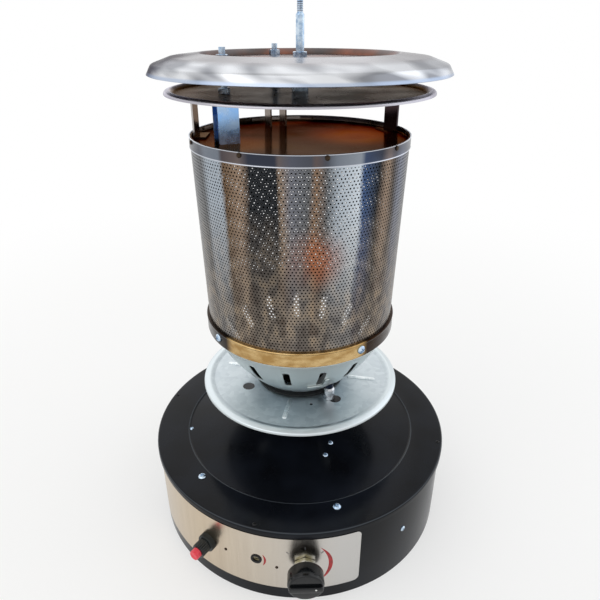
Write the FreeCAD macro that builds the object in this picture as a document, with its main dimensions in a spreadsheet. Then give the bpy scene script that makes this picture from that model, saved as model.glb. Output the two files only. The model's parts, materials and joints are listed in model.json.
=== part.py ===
import FreeCAD, Part
import math
import os
import re
import Sketcher
from FreeCAD import Placement, Rotation, Vector

# Gas patio heater head: a round control housing, a galvanised disc, a slotted burner bowl,
# a perforated emitter and two pressed top plates with the stud for a reflector.
# Millimetres, +Z up, the control panel faces -Y, the origin is the middle of the underside.
# An azimuth counts degrees from the front (-Y) towards the right (+X).

SIZES = {
    # Painted housing: wall, pressed cover and base pan
    "wall_radius": 177.5,
    "wall_height": 103,
    "wall_flange": 9,
    "steel": 1.0,
    "slip": 0.1,
    "bend": 1.6,
    "cover_overhang": 2.5,
    "skirt_drop": 7,
    "step_radius": 142,
    "step_width": 2.5,
    "step_depth": 1.5,
    "cone_rise": 17.5,
    "collar_height": 6,
    "neck_radius": 44,
    "base_rim": 12,
    "base_opening": 32,
    "post_bolt_radius": 45,
    "post_bolt_hole": 3.25,
    "post_bolt_count": 4,
    "post_bolt_azimuth": 45,
    # Screws and rivets of the housing
    "screw_shank": 2.0,
    "screw_head": 4.3,
    "screw_head_height": 2.4,
    "head_edge": 0.35,
    "head_flat": 0.62,
    "screw_hole_gap": 0.1,
    "cover_screw_radius": 151,
    "cover_screw_azimuth_a": -47,
    "cover_screw_azimuth_b": 15,
    "cover_screw_length": 9,
    "lug_reach": 7,
    "lug_width": 18,
    "rim_screw_inset": 3,
    "rim_screw_azimuth": -15.5,
    "rim_screw_head": 2.2,
    "rim_screw_head_height": 0.9,
    "rim_screw_shank": 1.4,
    "rim_screw_length": 5,
    "wall_screw_azimuth": 39.9,
    "wall_screw_height": 59.7,
    "wall_screw_length": 9,
    "wall_screw_head": 3.2,
    "wall_screw_head_height": 1.9,
    "bracket_sheet": 1.5,
    "bracket_width": 16,
    "bracket_foot": 16,
    # Control panel and what sits in it
    "panel_start": -66,
    "panel_end": 21,
    "panel_low": 17,
    "panel_high": 93,
    "panel_sheet": 0.8,
    "panel_corner": 6,
    "panel_rivet": 1.7,
    "rivet_shank": 0.6,
    "rivet_tail": 1,
    "rivet_azimuth_a": -26.6,
    "rivet_rise_a": 0.5,
    "rivet_azimuth_b": -7.9,
    "rivet_rise_b": -6,
    "controls_height": 55,
    "knob_azimuth": 1.7,
    "knob_radius": 19,
    "knob_length": 17.3,
    "knob_gap": 9,
    "knob_wall": 3,
    "knob_face": 2,
    "knob_recess": 8.2,
    "knob_hub": 7.5,
    "grip_width": 7,
    "grip_height": 3.2,
    "grip_inset": 1.6,
    "grip_sink": 0.5,
    "knob_edge": 0.6,
    "knob_taper": 0.9,
    "knob_front_edge": 2.2,
    "knob_travel": 4,
    "spindle_radius": 4,
    "running_gap": 0.05,
    "bonnet_neck": 9,
    "bonnet_flange": 15,
    "bonnet_flange_depth": 6,
    "bonnet_edge": 1,
    "bezel_flats": 25,
    "bezel_depth": 6,
    "valve_width": 44,
    "valve_tall": 40,
    "valve_depth": 47,
    "valve_cavity": 9.2,
    "collar_radius": 8.2,
    "collar_thickness": 3,
    "shoulder_radius": 6.5,
    "shoulder_length": 3.8,
    "end_gap": 0.3,
    "spring_wire": 0.7,
    "spring_turns": 6,
    "coil_room": 2.2,
    "igniter_azimuth": -34,
    "barrel_radius": 7.5,
    "barrel_back": 40,
    "barrel_proud": 17.7,
    "barrel_flange": 10.5,
    "barrel_flange_depth": 4,
    "barrel_edge": 0.6,
    "igniter_nut_radius": 10.3,
    "igniter_nut_depth": 6,
    "igniter_nut_edge": 0.8,
    "button_radius": 5.5,
    "button_proud": 6.5,
    "button_length": 36,
    "button_travel": 5.5,
    "button_edge": 1.2,
    "terminal_radius": 2.4,
    "terminal_length": 8,
    "adjuster_azimuth": -15,
    "adjuster_height": 57,
    "adjuster_radius": 3.5,
    "adjuster_length": 22,
    "adjuster_flange": 6.2,
    "adjuster_flange_depth": 1.1,
    "adjuster_wall": 1.4,
    "adjuster_edge": 0.4,
    "adjuster_bush_share": 0.7,
    "slot_width": 1.1,
    "slot_depth": 1.4,
    # Gas way from the inlet to the burner
    "inlet_y": -14,
    "inlet_end": 5,
    "inlet_thread": 7.9,
    "inlet_thread_length": 13,
    "inlet_hex": 19,
    "inlet_hex_height": 11,
    "inlet_bore": 3,
    "pipe_slack": 0.4,
    "inlet_pipe_height": 44,
    "supply_height": 64,
    "pipe_radius": 4,
    "pipe_bend": 10,
    "jet_holder_flats": 19,
    "jet_holder_height": 22,
    "jet_radius": 4,
    "jet_length": 8,
    "jet_bore": 0.6,
    "jet_nose": 1.8,
    "jet_taper_start": 0.6,
    "tube_radius": 16,
    "tube_wall": 1.2,
    "tube_top": 202,
    "air_window_width": 12,
    "air_window_height": 16,
    "air_window_count": 4,
    "air_window_azimuth": 45,
    "air_window_lift": 3,
    "air_window_corner": 2,
    "tube_flange": 30,
    "neck_lip": 6,
    # Galvanised disc and burner bowl
    "disc_top": 176.5,
    "disc_radius": 116.6,
    "disc_sheet": 0.8,
    "rim_width": 12.6,
    "rim_rise": 3,
    "rim_drop": 1.4,
    "disc_rib_length": 34,
    "disc_rib_width": 5,
    "disc_rib_height": 1.2,
    "disc_rib_start": 58,
    "disc_rib_azimuth": -11,
    "disc_rib_count": 4,
    "disc_rib_end": 2.25,
    "port_radius": 7,
    "port_at": 68,
    "port_azimuth": 36,
    "left_port_azimuth": -63,
    "small_hole": 2,
    "small_hole_at": 66,
    "small_hole_azimuth": 11,
    "gasket_radius": 52,
    "gasket_thickness": 2,
    "gasket_lip": 5,
    "bowl_foot_radius": 46,
    "bowl_top_radius": 101,
    "bowl_height": 73.4,
    "bowl_bow": 6.5,
    "bowl_sheet": 0.8,
    "bowl_flange": 3.6,
    "slot_count": 15,
    "slot_azimuth": -9,
    "slot_low": 211,
    "slot_high": 237,
    "slot_wide": 7.4,
    "slot_corner": 2.2,
    "foot_bolt_radius": 37,
    "foot_bolt_azimuth": 90,
    "foot_bolt_shank": 2.5,
    "foot_bolt_flats": 8,
    "foot_bolt_head": 3.5,
    "foot_bolt_end": 1,
    "head_radius": 20.5,
    "head_height": 34,
    "head_sheet": 1.2,
    "head_edge_round": 4,
    "flame_port": 1.6,
    "flame_port_count": 16,
    # Pilot, thermocouple and spark electrode
    "pilot_at": 62.5,
    "pilot_azimuth": 32,
    "pilot_pass": 52,
    "pilot_radius": 6.3,
    "pilot_height": 15,
    "hood_radius": 4.6,
    "hood_height": 13,
    "pilot_edge": 1.5,
    "hood_edge": 1,
    "pilot_port_inset": 10,
    "pilot_port_turn": 3,
    "pilot_tube_rise": 14,
    "pilot_tube_turn": 8,
    "pilot_bend_low": 28,
    "pilot_bend_high": 16,
    "pilot_opening": 7.2,
    "pilot_tube_radius": 2,
    "strip_sheet": 1.0,
    "strip_lean": 0.6,
    "strip_width": 6.5,
    "strip_place": 0.37,
    "strip_start": 6,
    "strip_turn": 12,
    "strip_leg": 20,
    "strip_leg_turn": 3,
    "strip_gap": 0.3,
    "lead_radius": 1.6,
    "lead_straight": 22,
    "lead_rise": 30,
    "rod_radius": 1.6,
    "rod_at": 25,
    "rod_top": 214,
    "thermocouple_azimuth": -15,
    "thermocouple_inset": 22,
    "thermocouple_turn": -4,
    "thermocouple_rise": 9,
    "electrode_azimuth": -60,
    "insulator_radius": 3.5,
    "insulator_drop": 46,
    "insulator_edge": 0.8,
    "spark_wire_length": 12,
    "electrode_wire": 1,
    "rod_gap": 0.2,
    # Emitter: ring, perforated screen, band and closing plate
    "ring_height": 16.8,
    "ring_reach": 5.2,
    "ring_lip": 4,
    "ring_flare": 0.6,
    "ring_flare_height": 1.2,
    "ring_sheet": 1.0,
    "ring_screw_height": 9.3,
    "ring_screw_azimuth": -54,
    "ring_screw_count": 4,
    "ring_screw_head": 4.6,
    "ring_screw_head_height": 2.8,
    "ring_screw_shank": 2,
    "ring_screw_length": 10,
    "ring_nut_flats": 7,
    "ring_nut_height": 3.2,
    "screen_gap": 2.1,
    "screen_flare": 5.3,
    "screen_short": 0.4,
    "screen_sheet": 0.6,
    "mesh_rows": 7,
    "mesh_columns": 16,
    "mesh_margin": 3,
    "mesh_share": 0.77,
    "emitter_top": 463.3,
    "band_height": 10.8,
    "band_sheet": 0.8,
    "band_rivet_azimuth": 12,
    "band_rivet_count": 9,
    "band_rivet_radius": 2.2,
    "band_rivet_head": 1,
    "band_rivet_rise": 2.2,
    "band_rivet_tail": 0.8,
    "plate_drop": 5,
    "plate_sheet": 0.8,
    "plate_short": 0.8,
    # Posts and hangers between the emitter and the top plates
    "post_azimuth_a": -91,
    "post_azimuth_b": 112,
    "post_width": 26,
    "post_sheet": 1.6,
    "post_inset": 4.2,
    "post_foot": 12,
    "hanger_radius": 75,
    "hanger_azimuth_a": -67,
    "hanger_azimuth_b": 201,
    "hanger_gap": 15.5,
    "hanger_width": 20,
    "hanger_sheet": 1.6,
    # Lower flange, top pan and the reflector stud
    "flange_top": 501.5,
    "flange_radius": 128.5,
    "flange_sheet": 0.8,
    "flange_rim_width": 9,
    "flange_rim_rise": 3.4,
    "pan_floor": 529.5,
    "pan_radius": 141.7,
    "pan_sheet": 1.0,
    "pan_lip_height": 518,
    "pan_side_height": 526.5,
    "pan_side_radius": 137,
    "pan_shoulder_radius": 120,
    "pan_shoulder_height": 532.5,
    "pan_rim_radius": 94,
    "pan_rim_height": 535.3,
    "pan_rim_step": 4,
    "pan_floor_bend": 1.2,
    "pan_shoulder_round": 12,
    "pan_side_round": 4,
    "spacer_radius": 8,
    "stud_radius": 4,
    "stud_shoulder": 567,
    "stud_tip_radius": 3,
    "stud_tip_length": 15,
    "stud_tail": 8,
    "stud_nut_flats": 13,
    "stud_nut_height": 6,
    "hanger_bolt_radius": 3,
    "hanger_bolt_flats": 10,
    "hanger_bolt_head": 4,
    "hanger_nut_height": 5,
    "hanger_bolt_end": 6,
    # Tilt switch under the cover
    "tilt_azimuth": 25.5,
    "tilt_radius": 77,
    "tilt_width": 26,
    "tilt_depth": 30,
    "tilt_height": 26,
    "tilt_wall": 2,
    "tilt_block": 8,
    "tilt_clear": 0.5,
    "tilt_screw_azimuth_a": 30.9,
    "tilt_screw_radius_a": 70.6,
    "tilt_screw_azimuth_b": 20.7,
    "tilt_screw_radius_b": 83.6,
    "tilt_screw_head": 2.9,
    "tilt_screw_head_height": 1.6,
    "tilt_screw_shank": 1.4,
    "tilt_screw_length": 7,
    "tilt_pin": 1.2,
    "tilt_pin_drop": 3,
    "bob_eye": 1.8,
    "bob_rod": 1.2,
    "bob_joint": 1,
    "bob_radius": 5,
    "bob_drop": 12,
    "bob_height": 7,
}

doc = FreeCAD.newDocument("patio_heater")
cells = doc.addObject("Spreadsheet::Sheet", "cells")
for row, (alias, value) in enumerate(SIZES.items(), start=1):
    cells.set(f"A{row}", alias)
    cells.set(f"B{row}", str(value))
    cells.setAlias(f"B{row}", alias)
doc.recompute()

pieces = []


# Sizes that several pieces share, each worked out from the sheet's own cells
COVER_TOP = "(wall_height + steel)"
CONE_FOOT_RADIUS = "(step_radius - step_width)"
CONE_FOOT = f"({COVER_TOP} - step_depth)"
CONE_TOP = f"({CONE_FOOT} + cone_rise)"
COLLAR_BORE = "(neck_radius + slip)"
CONE_SLOPE = f"(cone_rise / ({CONE_FOOT_RADIUS} - {COLLAR_BORE} - steel))"
WALL_BORE = "(wall_radius - steel)"
PANEL_BACK = "(wall_radius + slip)"
PANEL_FACE = f"({PANEL_BACK} + panel_sheet)"
BONNET_BACK = (f"(sqrt(pow({WALL_BORE}; 2) - pow(bonnet_flange; 2)) - slip - bonnet_flange_depth)")
VALVE_BACK = f"({BONNET_BACK} - valve_depth)"
KNOB_BACK = f"({PANEL_FACE} + knob_gap)"
KNOB_FRONT = f"({KNOB_BACK} + knob_length)"
NECK_END = f"({KNOB_BACK} - end_gap)"
HUB_BACK = f"({NECK_END} + knob_travel + 2 * end_gap)"
BARREL_FACE = f"(sqrt(pow({WALL_BORE}; 2) - pow(barrel_flange; 2)) - slip)"
BARREL_BACK = "(wall_radius - barrel_back)"
SHOULDER = f"({BONNET_BACK} - end_gap)"
COLLAR_FRONT = f"({SHOULDER} - shoulder_length - slip)"
COLLAR_BACK = f"({COLLAR_FRONT} - collar_thickness)"
SPRING_SHUT = "(spring_turns * coil_room * spring_wire)"
VALVE_FLOOR = f"({COLLAR_BACK} - knob_travel - {SPRING_SHUT})"
BARREL_END = f"({PANEL_FACE} + barrel_proud)"
BUTTON_BACK = f"({BARREL_END} + button_proud - button_length)"
BARREL_FLOOR = f"({BUTTON_BACK} - button_travel - {SPRING_SHUT})"
RIM_SCREW_RADIUS = "(wall_radius - rim_screw_inset)"
DISC_FLOOR = "(disc_top - disc_sheet)"
BOWL_FOOT = "(disc_top + gasket_thickness)"
BOWL_TOP = "(disc_top + gasket_thickness + bowl_height)"
RING_FOOT = f"({BOWL_TOP} + bowl_sheet)"
RING_TOP = f"({RING_FOOT} + ring_height)"
SCREEN_FOOT = f"({RING_FOOT} + ring_sheet)"
RING_RADIUS = "(bowl_top_radius + ring_reach)"
SCREEN_FOOT_RADIUS = f"({RING_RADIUS} - ring_sheet - screen_gap)"
SCREEN_TOP_RADIUS = f"({SCREEN_FOOT_RADIUS} + screen_flare)"
POST_RADIUS = f"({SCREEN_TOP_RADIUS} - post_inset)"
PLATE_TOP = "(emitter_top - plate_drop)"
FLANGE_FLOOR = "(flange_top - flange_sheet)"
PAN_UNDER = "(pan_floor - pan_sheet)"
TUBE_FOOT = "(supply_height + jet_holder_height / 2)"


def bound(text):
    """Expression text in which each size's name points at its cell."""
    return re.sub(r"[a-z]\w*\b(?!\()", lambda word: "cells." + word.group(), str(text))


def number(text):
    """Present value of an expression in the sheet's sizes."""
    return float(cells.evalExpression(bound(text)))


# Bodies and the three ways in which a sketch stands in one

def new_body(label):
    body = doc.addObject("PartDesign::Body", label)
    body.Label = label
    pieces.append(body)
    return body


def sketch_on(body, role, offset):
    """Sketch on one of the body's own origin planes, moved by an expression."""
    sketch = body.newObject("Sketcher::SketchObject", "outline")
    plane = next(item for item in body.Origin.OriginFeatures if item.Role == role)
    sketch.AttachmentSupport = [(plane, "")]
    sketch.MapMode = "FlatFace"
    sketch.setExpression("AttachmentOffset", bound(offset))
    return sketch


def radial_sketch(body, azimuth=90, radius=0, height=0, lean=0):
    """Upright sketch in a plane through the axis: x runs outwards, y runs up."""
    spin = f"(({azimuth}) - 90)"
    base = f"vector(({radius}) * cos{spin}; {height}; -({radius}) * sin{spin})"
    turn = f"rotation(vector(0; 1; 0); {spin}) * rotation(vector(0; 0; 1); {lean})"
    return sketch_on(body, "XZ_Plane", f"placement({base}; {turn})")


def facing_sketch(body, azimuth=0, height=0, distance=0):
    """Upright sketch that looks outwards: x runs sideways, y runs up."""
    base = f"vector(({distance}) * sin({azimuth}); {height}; ({distance}) * cos({azimuth}))"
    return sketch_on(body, "XZ_Plane", f"placement({base}; rotation(vector(0; 1; 0); {azimuth}))")


def level_sketch(body, height=0, radius=0, azimuth=90):
    """Level sketch at a height: x runs outwards at the azimuth."""
    spin = f"(({azimuth}) - 90)"
    base = f"vector(({radius}) * cos{spin}; ({radius}) * sin{spin}; {height})"
    return sketch_on(body, "XY_Plane", f"placement({base}; rotation(vector(0; 0; 1); {spin}))")


# Sketch contents

def pin_point(sketch, geometry, place, x, y):
    """Hold a point at two expressions, counted from the sketch's origin."""
    for kind, text in (("DistanceX", x), ("DistanceY", y)):
        held = Sketcher.Constraint(kind, -1, 1, geometry, place, number(text))
        index = sketch.addConstraint(held)
        sketch.setExpression(f"Constraints[{index}]", bound(text))


def hold_radius(sketch, geometry, text):
    index = sketch.addConstraint(Sketcher.Constraint("Radius", geometry, number(text)))
    sketch.setExpression(f"Constraints[{index}]", bound(text))


def disc(sketch, radius, x=0, y=0):
    """Circle in a sketch."""
    centre = Vector(number(x), number(y), 0)
    circle = sketch.addGeometry(Part.Circle(centre, Vector(0, 0, 1), number(radius)))
    pin_point(sketch, circle, 3, x, y)
    hold_radius(sketch, circle, radius)


def arc_between(start, end, centre, radius):
    """Short arc from start to end, with the sketch's names for its two ends."""
    first = math.atan2(start.y - centre.y, start.x - centre.x)
    last = math.atan2(end.y - centre.y, end.x - centre.x)
    turn = (last - first) % (2 * math.pi)
    circle = Part.Circle(centre, Vector(0, 0, 1), radius)
    if turn <= math.pi:
        return Part.ArcOfCircle(circle, first, first + turn), 1, 2
    return Part.ArcOfCircle(circle, last, last + 2 * math.pi - turn), 2, 1


def bowed_edge(start, end, depth):
    """Arc that bows to the right of the way from start to end, to the left if negative."""
    chord = end - start
    radius = chord.Length ** 2 / (8 * depth) + depth / 2
    side = Vector(chord.y, -chord.x, 0).normalize()
    centre = (start + end) / 2 + side * (depth - radius)
    return arc_between(start, end, centre, abs(radius))


def trim(before, corner, after, radius):
    """Tangent points and centre of a round corner."""
    way_in = (before - corner).normalize()
    way_out = (after - corner).normalize()
    half = way_in.getAngle(way_out) / 2
    reach = radius / math.tan(half)
    centre = corner + (way_in + way_out).normalize() * (radius / math.sin(half))
    return corner + way_in * reach, corner + way_out * reach, centre


def outline(sketch, corners):
    """Closed outline through corners, each (x, y) or (x, y, radius of its rounding).

    ("bow", depth) between two sharp corners makes that edge an arc.
    """
    stops = []
    bows = {}
    for item in corners:
        if item[0] == "bow":
            bows[len(stops) - 1] = item[1]
        else:
            stops.append(item)
    points = [Vector(number(stop[0]), number(stop[1]), 0) for stop in stops]
    count = len(stops)
    ends = []
    for at, stop in enumerate(stops):
        if len(stop) == 3:
            ends.append(trim(points[at - 1], points[at], points[(at + 1) % count], number(stop[2])))
        else:
            ends.append((points[at], points[at], None))
    edges = []
    for at in range(count):
        start, end = ends[at][1], ends[(at + 1) % count][0]
        if at in bows:
            arc, first, last = bowed_edge(start, end, number(bows[at]))
            edges.append((sketch.addGeometry(arc), first, last))
        else:
            edges.append((sketch.addGeometry(Part.LineSegment(start, end)), 1, 2))
    for at, stop in enumerate(stops):
        join_edges(sketch, edges[at - 1], edges[at], stop, points[at], ends[at])
    for at, depth in bows.items():
        hold_bow(sketch, edges[at][0], stops[at], stops[(at + 1) % count], depth)


def join_edges(sketch, before, after, stop, point, end):
    """Join two edges at a corner, sharp or rounded, and pin the corner."""
    if len(stop) == 2:
        sketch.addConstraint(Sketcher.Constraint("Coincident", before[0], before[2], after[0], after[1]))
        pin_point(sketch, after[0], after[1], stop[0], stop[1])
        return
    arc, first, last = arc_between(end[0], end[1], end[2], number(stop[2]))
    round_edge = sketch.addGeometry(arc)
    corner = sketch.addGeometry(Part.Point(point), True)
    sketch.addConstraint([
        Sketcher.Constraint("Tangent", before[0], before[2], round_edge, first),
        Sketcher.Constraint("Tangent", round_edge, last, after[0], after[1]),
        Sketcher.Constraint("PointOnObject", corner, 1, before[0]),
        Sketcher.Constraint("PointOnObject", corner, 1, after[0]),
    ])
    pin_point(sketch, corner, 1, stop[0], stop[1])
    hold_radius(sketch, round_edge, stop[2])


def hold_bow(sketch, arc, start, end, depth):
    """Radius of an arc from its chord and the depth of its bow."""
    chord = f"(pow(({end[0]}) - ({start[0]}); 2) + pow(({end[1]}) - ({start[1]}); 2))"
    hold_radius(sketch, arc, f"{chord} / (8 * abs({depth})) + abs({depth}) / 2")


def hexagon(sketch, across_flats, x=0, y=0):
    """Hexagon with two corners on the x axis."""
    radius = f"({across_flats}) / (2 * cos(30))"
    outline(sketch, [(f"{x} + {radius} * cos({60 * k})", f"{y} + {radius} * sin({60 * k})")
                     for k in range(6)])


def rectangle(sketch, low_x, low_y, high_x, high_y, rounding=None):
    """Rectangle between two corners, with its corners rounded if a radius is given."""
    extra = () if rounding is None else (rounding,)
    spots = [(low_x, low_y), (high_x, low_y), (high_x, high_y), (low_x, high_y)]
    outline(sketch, [spot + extra for spot in spots])


# Features

def revolve(body, sketch, about="V_Axis", angle=None):
    feature = body.newObject("PartDesign::Revolution", "turned")
    feature.Profile = sketch
    feature.ReferenceAxis = (sketch, [about])
    feature.Angle = 360
    if angle is not None:
        feature.setExpression("Angle", bound(angle))
    body.Tip = feature
    return feature


def pad(body, sketch, length, middle=False):
    feature = body.newObject("PartDesign::Pad", "plate")
    feature.Profile = sketch
    feature.setExpression("Length", bound(length))
    feature.SideType = "Symmetric" if middle else "One side"
    body.Tip = feature
    return feature


def cut(body, sketch, length=None, outwards=False, both=False):
    """Pocket through all, or as deep as given; it cuts along or against the sketch's normal."""
    feature = body.newObject("PartDesign::Pocket", "cut")
    feature.Profile = sketch
    feature.Type = "ThroughAll" if length is None else "Length"
    if length is not None:
        feature.setExpression("Length", bound(length))
    feature.SideType = "Symmetric" if both else "One side"
    feature.Reversed = outwards
    body.Tip = feature
    return feature


def bore(body, sketch, radius, low, high):
    """Round hole along the sketch's y axis, between two distances on it."""
    rectangle(sketch, 0, low, radius, high)
    feature = body.newObject("PartDesign::Groove", "bored")
    feature.Profile = sketch
    feature.ReferenceAxis = (sketch, ["V_Axis"])
    feature.Angle = 360
    body.Tip = feature
    return feature


def around(body, feature, count):
    """Repeat a feature evenly around the heater's axis."""
    pattern = body.newObject("PartDesign::PolarPattern", "around")
    pattern.Originals = [feature]
    axis = next(item for item in body.Origin.OriginFeatures if item.Role == "Z_Axis")
    pattern.Axis = (axis, [""])
    pattern.Angle = 360
    pattern.setExpression("Occurrences", bound(count))
    body.Tip = pattern
    return pattern


def spun(label, corners):
    """Piece turned about the heater's axis; corners are (radius, height)."""
    body = new_body(label)
    sketch = radial_sketch(body)
    outline(sketch, corners)
    revolve(body, sketch)
    return body


def spun_out(label, azimuth, height, corners):
    """Piece turned about a line that points outwards; corners are (distance, radius)."""
    body = new_body(label)
    sketch = radial_sketch(body, azimuth, 0, height)
    outline(sketch, corners)
    revolve(body, sketch, "H_Axis")
    return body


def drill_down(body, radius, at_radius, azimuth, low, high, count=None):
    """Hole along Z through what lies between two heights."""
    sketch = level_sketch(body, high, at_radius, azimuth)
    disc(sketch, radius)
    hole = cut(body, sketch, f"({high}) - ({low})")
    return around(body, hole, count) if count else hole


def drill_out(body, radius, azimuth, height, count=None):
    """Hole through the wall, outwards at an azimuth and height."""
    sketch = facing_sketch(body, azimuth, height)
    disc(sketch, radius)
    hole = cut(body, sketch, outwards=True)
    return around(body, hole, count) if count else hole


def pan_head(head, head_height, shank, length):
    """Half outline of a screw whose head rests on height 0, its shank below."""
    return [(0, f"-({length})"), (shank, f"-({length})"), (shank, 0), (head, 0),
            (head, f"({head_height}) * head_edge"), (f"({head}) * head_flat", head_height), (0, head_height)]


def upright_screws(label, spots, height, head, head_height, shank, length, lean=0):
    """Group of screws with level heads, one at each (radius, azimuth)."""
    body = new_body(label)
    for radius, azimuth in spots:
        sketch = radial_sketch(body, azimuth, radius, height, lean)
        outline(sketch, pan_head(head, head_height, shank, length))
        revolve(body, sketch)
    return body


def radial_screw(body, azimuth, height, face, head, head_height, shank, length):
    """Screw whose head lies against a round wall, pointing at the axis."""
    sketch = radial_sketch(body, azimuth, face, height)
    profile = [(along, across) for across, along in pan_head(head, head_height, shank, length)]
    outline(sketch, profile)
    return revolve(body, sketch, "H_Axis")


def shaped(label, shape):
    """Piece whose shape is made directly, where it bends in three directions."""
    feature = doc.addObject("Part::Feature", label)
    feature.Label = label
    feature.Shape = shape
    pieces.append(feature)
    return feature


def polar(radius, azimuth, height):
    """Point at expressions for radius, azimuth and height."""
    turn = math.radians(number(azimuth))
    reach = number(radius)
    return Vector(reach * math.sin(turn), -reach * math.cos(turn), number(height))


def bent_line(points, bend):
    """Wire of straight runs joined by tangent arcs of one radius."""
    edges = []
    start = points[0]
    for before, corner, after in zip(points, points[1:], points[2:]):
        arc_start, arc_end, centre = trim(before, corner, after, bend)
        middle = centre + (corner - centre).normalize() * bend
        edges.append(Part.LineSegment(start, arc_start).toShape())
        edges.append(Part.Arc(arc_start, middle, arc_end).toShape())
        start = arc_end
    edges.append(Part.LineSegment(start, points[-1]).toShape())
    return Part.Wire(edges)


def bent_rod(points, bend, radius):
    """Round rod along a bent line."""
    path = bent_line(points, bend)
    ring = Part.Circle(points[0], points[1] - points[0], radius).toShape()
    return path.makePipeShell([Part.Wire([ring])], True, False)


def coil(azimuth, height, start, end, coil_radius, wire, turns):
    """Compression spring whose axis points outwards at an azimuth."""
    length = number(end) - number(start) - 2 * number(wire)
    pitch = length / number(turns)
    helix = Part.makeLongHelix(pitch, length, number(coil_radius))
    ring = Part.Circle(Vector(number(coil_radius), 0, 0), Vector(0, 1, 0), number(wire)).toShape()
    shape = Part.Wire(helix).makePipeShell([Part.Wire([ring])], True, True)
    turn = Rotation(Vector(0, 0, 1), number(azimuth)) * Rotation(Vector(1, 0, 0), 90)
    base = polar(f"{start} + {wire}", azimuth, height)
    shape.Placement = Placement(base, turn)
    return shape


# Housing

def housing_wall():
    body = spun("housing_wall", [
        ("wall_radius", 0),
        ("wall_radius", "wall_height", "bend"),
        ("wall_radius - wall_flange", "wall_height"),
        ("wall_radius - wall_flange", "wall_height - steel"),
        (WALL_BORE, "wall_height - steel", "bend - steel"),
        (WALL_BORE, 0),
    ])
    drill_out(body, "bonnet_neck + slip", "knob_azimuth", "controls_height")
    drill_out(body, "barrel_radius + slip", "igniter_azimuth", "controls_height")
    drill_out(body, "adjuster_radius + running_gap + adjuster_wall + slip", "adjuster_azimuth",
              "adjuster_height")
    drill_out(body, "screw_shank + screw_hole_gap", "wall_screw_azimuth", "wall_screw_height", 3)
    for azimuth, height in RIVETS:
        drill_out(body, "panel_rivet * rivet_shank + slip", azimuth, height)
    drill_down(body, "rim_screw_shank + screw_hole_gap", RIM_SCREW_RADIUS, "rim_screw_azimuth",
               "wall_height - 2 * steel", COVER_TOP, 4)
    for azimuth in COVER_SCREWS:
        lug = level_sketch(body, "wall_height - steel", 0, azimuth)
        rectangle(lug, "cover_screw_radius - lug_reach", "-lug_width / 2", "wall_radius - wall_flange / 2",
                  "lug_width / 2")
        pad(body, lug, "steel")
        drill_down(body, "screw_shank + screw_hole_gap", "cover_screw_radius", azimuth,
                   "wall_height - 2 * steel", COVER_TOP)


def top_cover():
    rim = "wall_radius + cover_overhang"
    skirt_foot = f"{COVER_TOP} - skirt_drop"
    body = spun("top_cover", [
        (rim, skirt_foot),
        (rim, COVER_TOP, "bend + steel"),
        ("step_radius", COVER_TOP),
        (CONE_FOOT_RADIUS, CONE_FOOT),
        (f"{COLLAR_BORE} + steel", CONE_TOP),
        (f"{COLLAR_BORE} + steel", f"{CONE_TOP} + collar_height"),
        (COLLAR_BORE, f"{CONE_TOP} + collar_height"),
        (COLLAR_BORE, f"{CONE_TOP} - steel"),
        (CONE_FOOT_RADIUS, f"{CONE_FOOT} - steel"),
        ("step_radius", "wall_height"),
        (f"{rim} - steel", "wall_height", "bend"),
        (f"{rim} - steel", skirt_foot),
    ])
    for azimuth in COVER_SCREWS:
        drill_down(body, "screw_shank + screw_hole_gap", "cover_screw_radius", azimuth,
                   "wall_height - steel", f"{COVER_TOP} + steel")
    drill_down(body, "rim_screw_shank + screw_hole_gap", RIM_SCREW_RADIUS, "rim_screw_azimuth",
               "wall_height - steel", f"{COVER_TOP} + steel", 4)
    for radius, azimuth in TILT_SCREWS:
        bore(body, cone_sketch(body, radius, azimuth), "tilt_screw_shank + screw_hole_gap",
             "-3 * steel", "steel")
    drill_down(body, "pilot_tube_radius + rod_gap", "pilot_pass", "pilot_azimuth",
               f"{CONE_FOOT} - steel", f"{CONE_TOP} + steel")


def base_pan():
    body = spun("base_pan", [
        ("base_opening", 0),
        (f"{WALL_BORE} - slip", 0, "bend + steel"),
        (f"{WALL_BORE} - slip", "base_rim"),
        (f"{WALL_BORE} - slip - steel", "base_rim"),
        (f"{WALL_BORE} - slip - steel", "steel", "bend"),
        ("base_opening", "steel"),
    ])
    drill_down(body, "post_bolt_hole", "post_bolt_radius", "post_bolt_azimuth", "-steel",
               "2 * steel", "post_bolt_count")


def base_brackets():
    face = f"({WALL_BORE} - steel - 4 * slip)"
    body = new_body("base_brackets")
    sketch = radial_sketch(body, "wall_screw_azimuth")
    outline(sketch, [
        (f"{face} - bracket_foot", "steel"),
        (face, "steel", "bend + bracket_sheet"),
        (face, "wall_screw_height + bracket_width / 2"),
        (f"{face} - bracket_sheet", "wall_screw_height + bracket_width / 2"),
        (f"{face} - bracket_sheet", "steel + bracket_sheet", "bend"),
        (f"{face} - bracket_foot", "steel + bracket_sheet"),
    ])
    leg = pad(body, sketch, "bracket_width", middle=True)
    around(body, leg, 3)
    drill_out(body, "screw_shank + screw_hole_gap", "wall_screw_azimuth", "wall_screw_height", 3)


def wall_screws():
    body = new_body("wall_screws")
    screw = radial_screw(body, "wall_screw_azimuth", "wall_screw_height", "wall_radius",
                         "wall_screw_head", "wall_screw_head_height", "screw_shank",
                         "wall_screw_length")
    around(body, screw, 3)


# Control panel and controls

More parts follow.
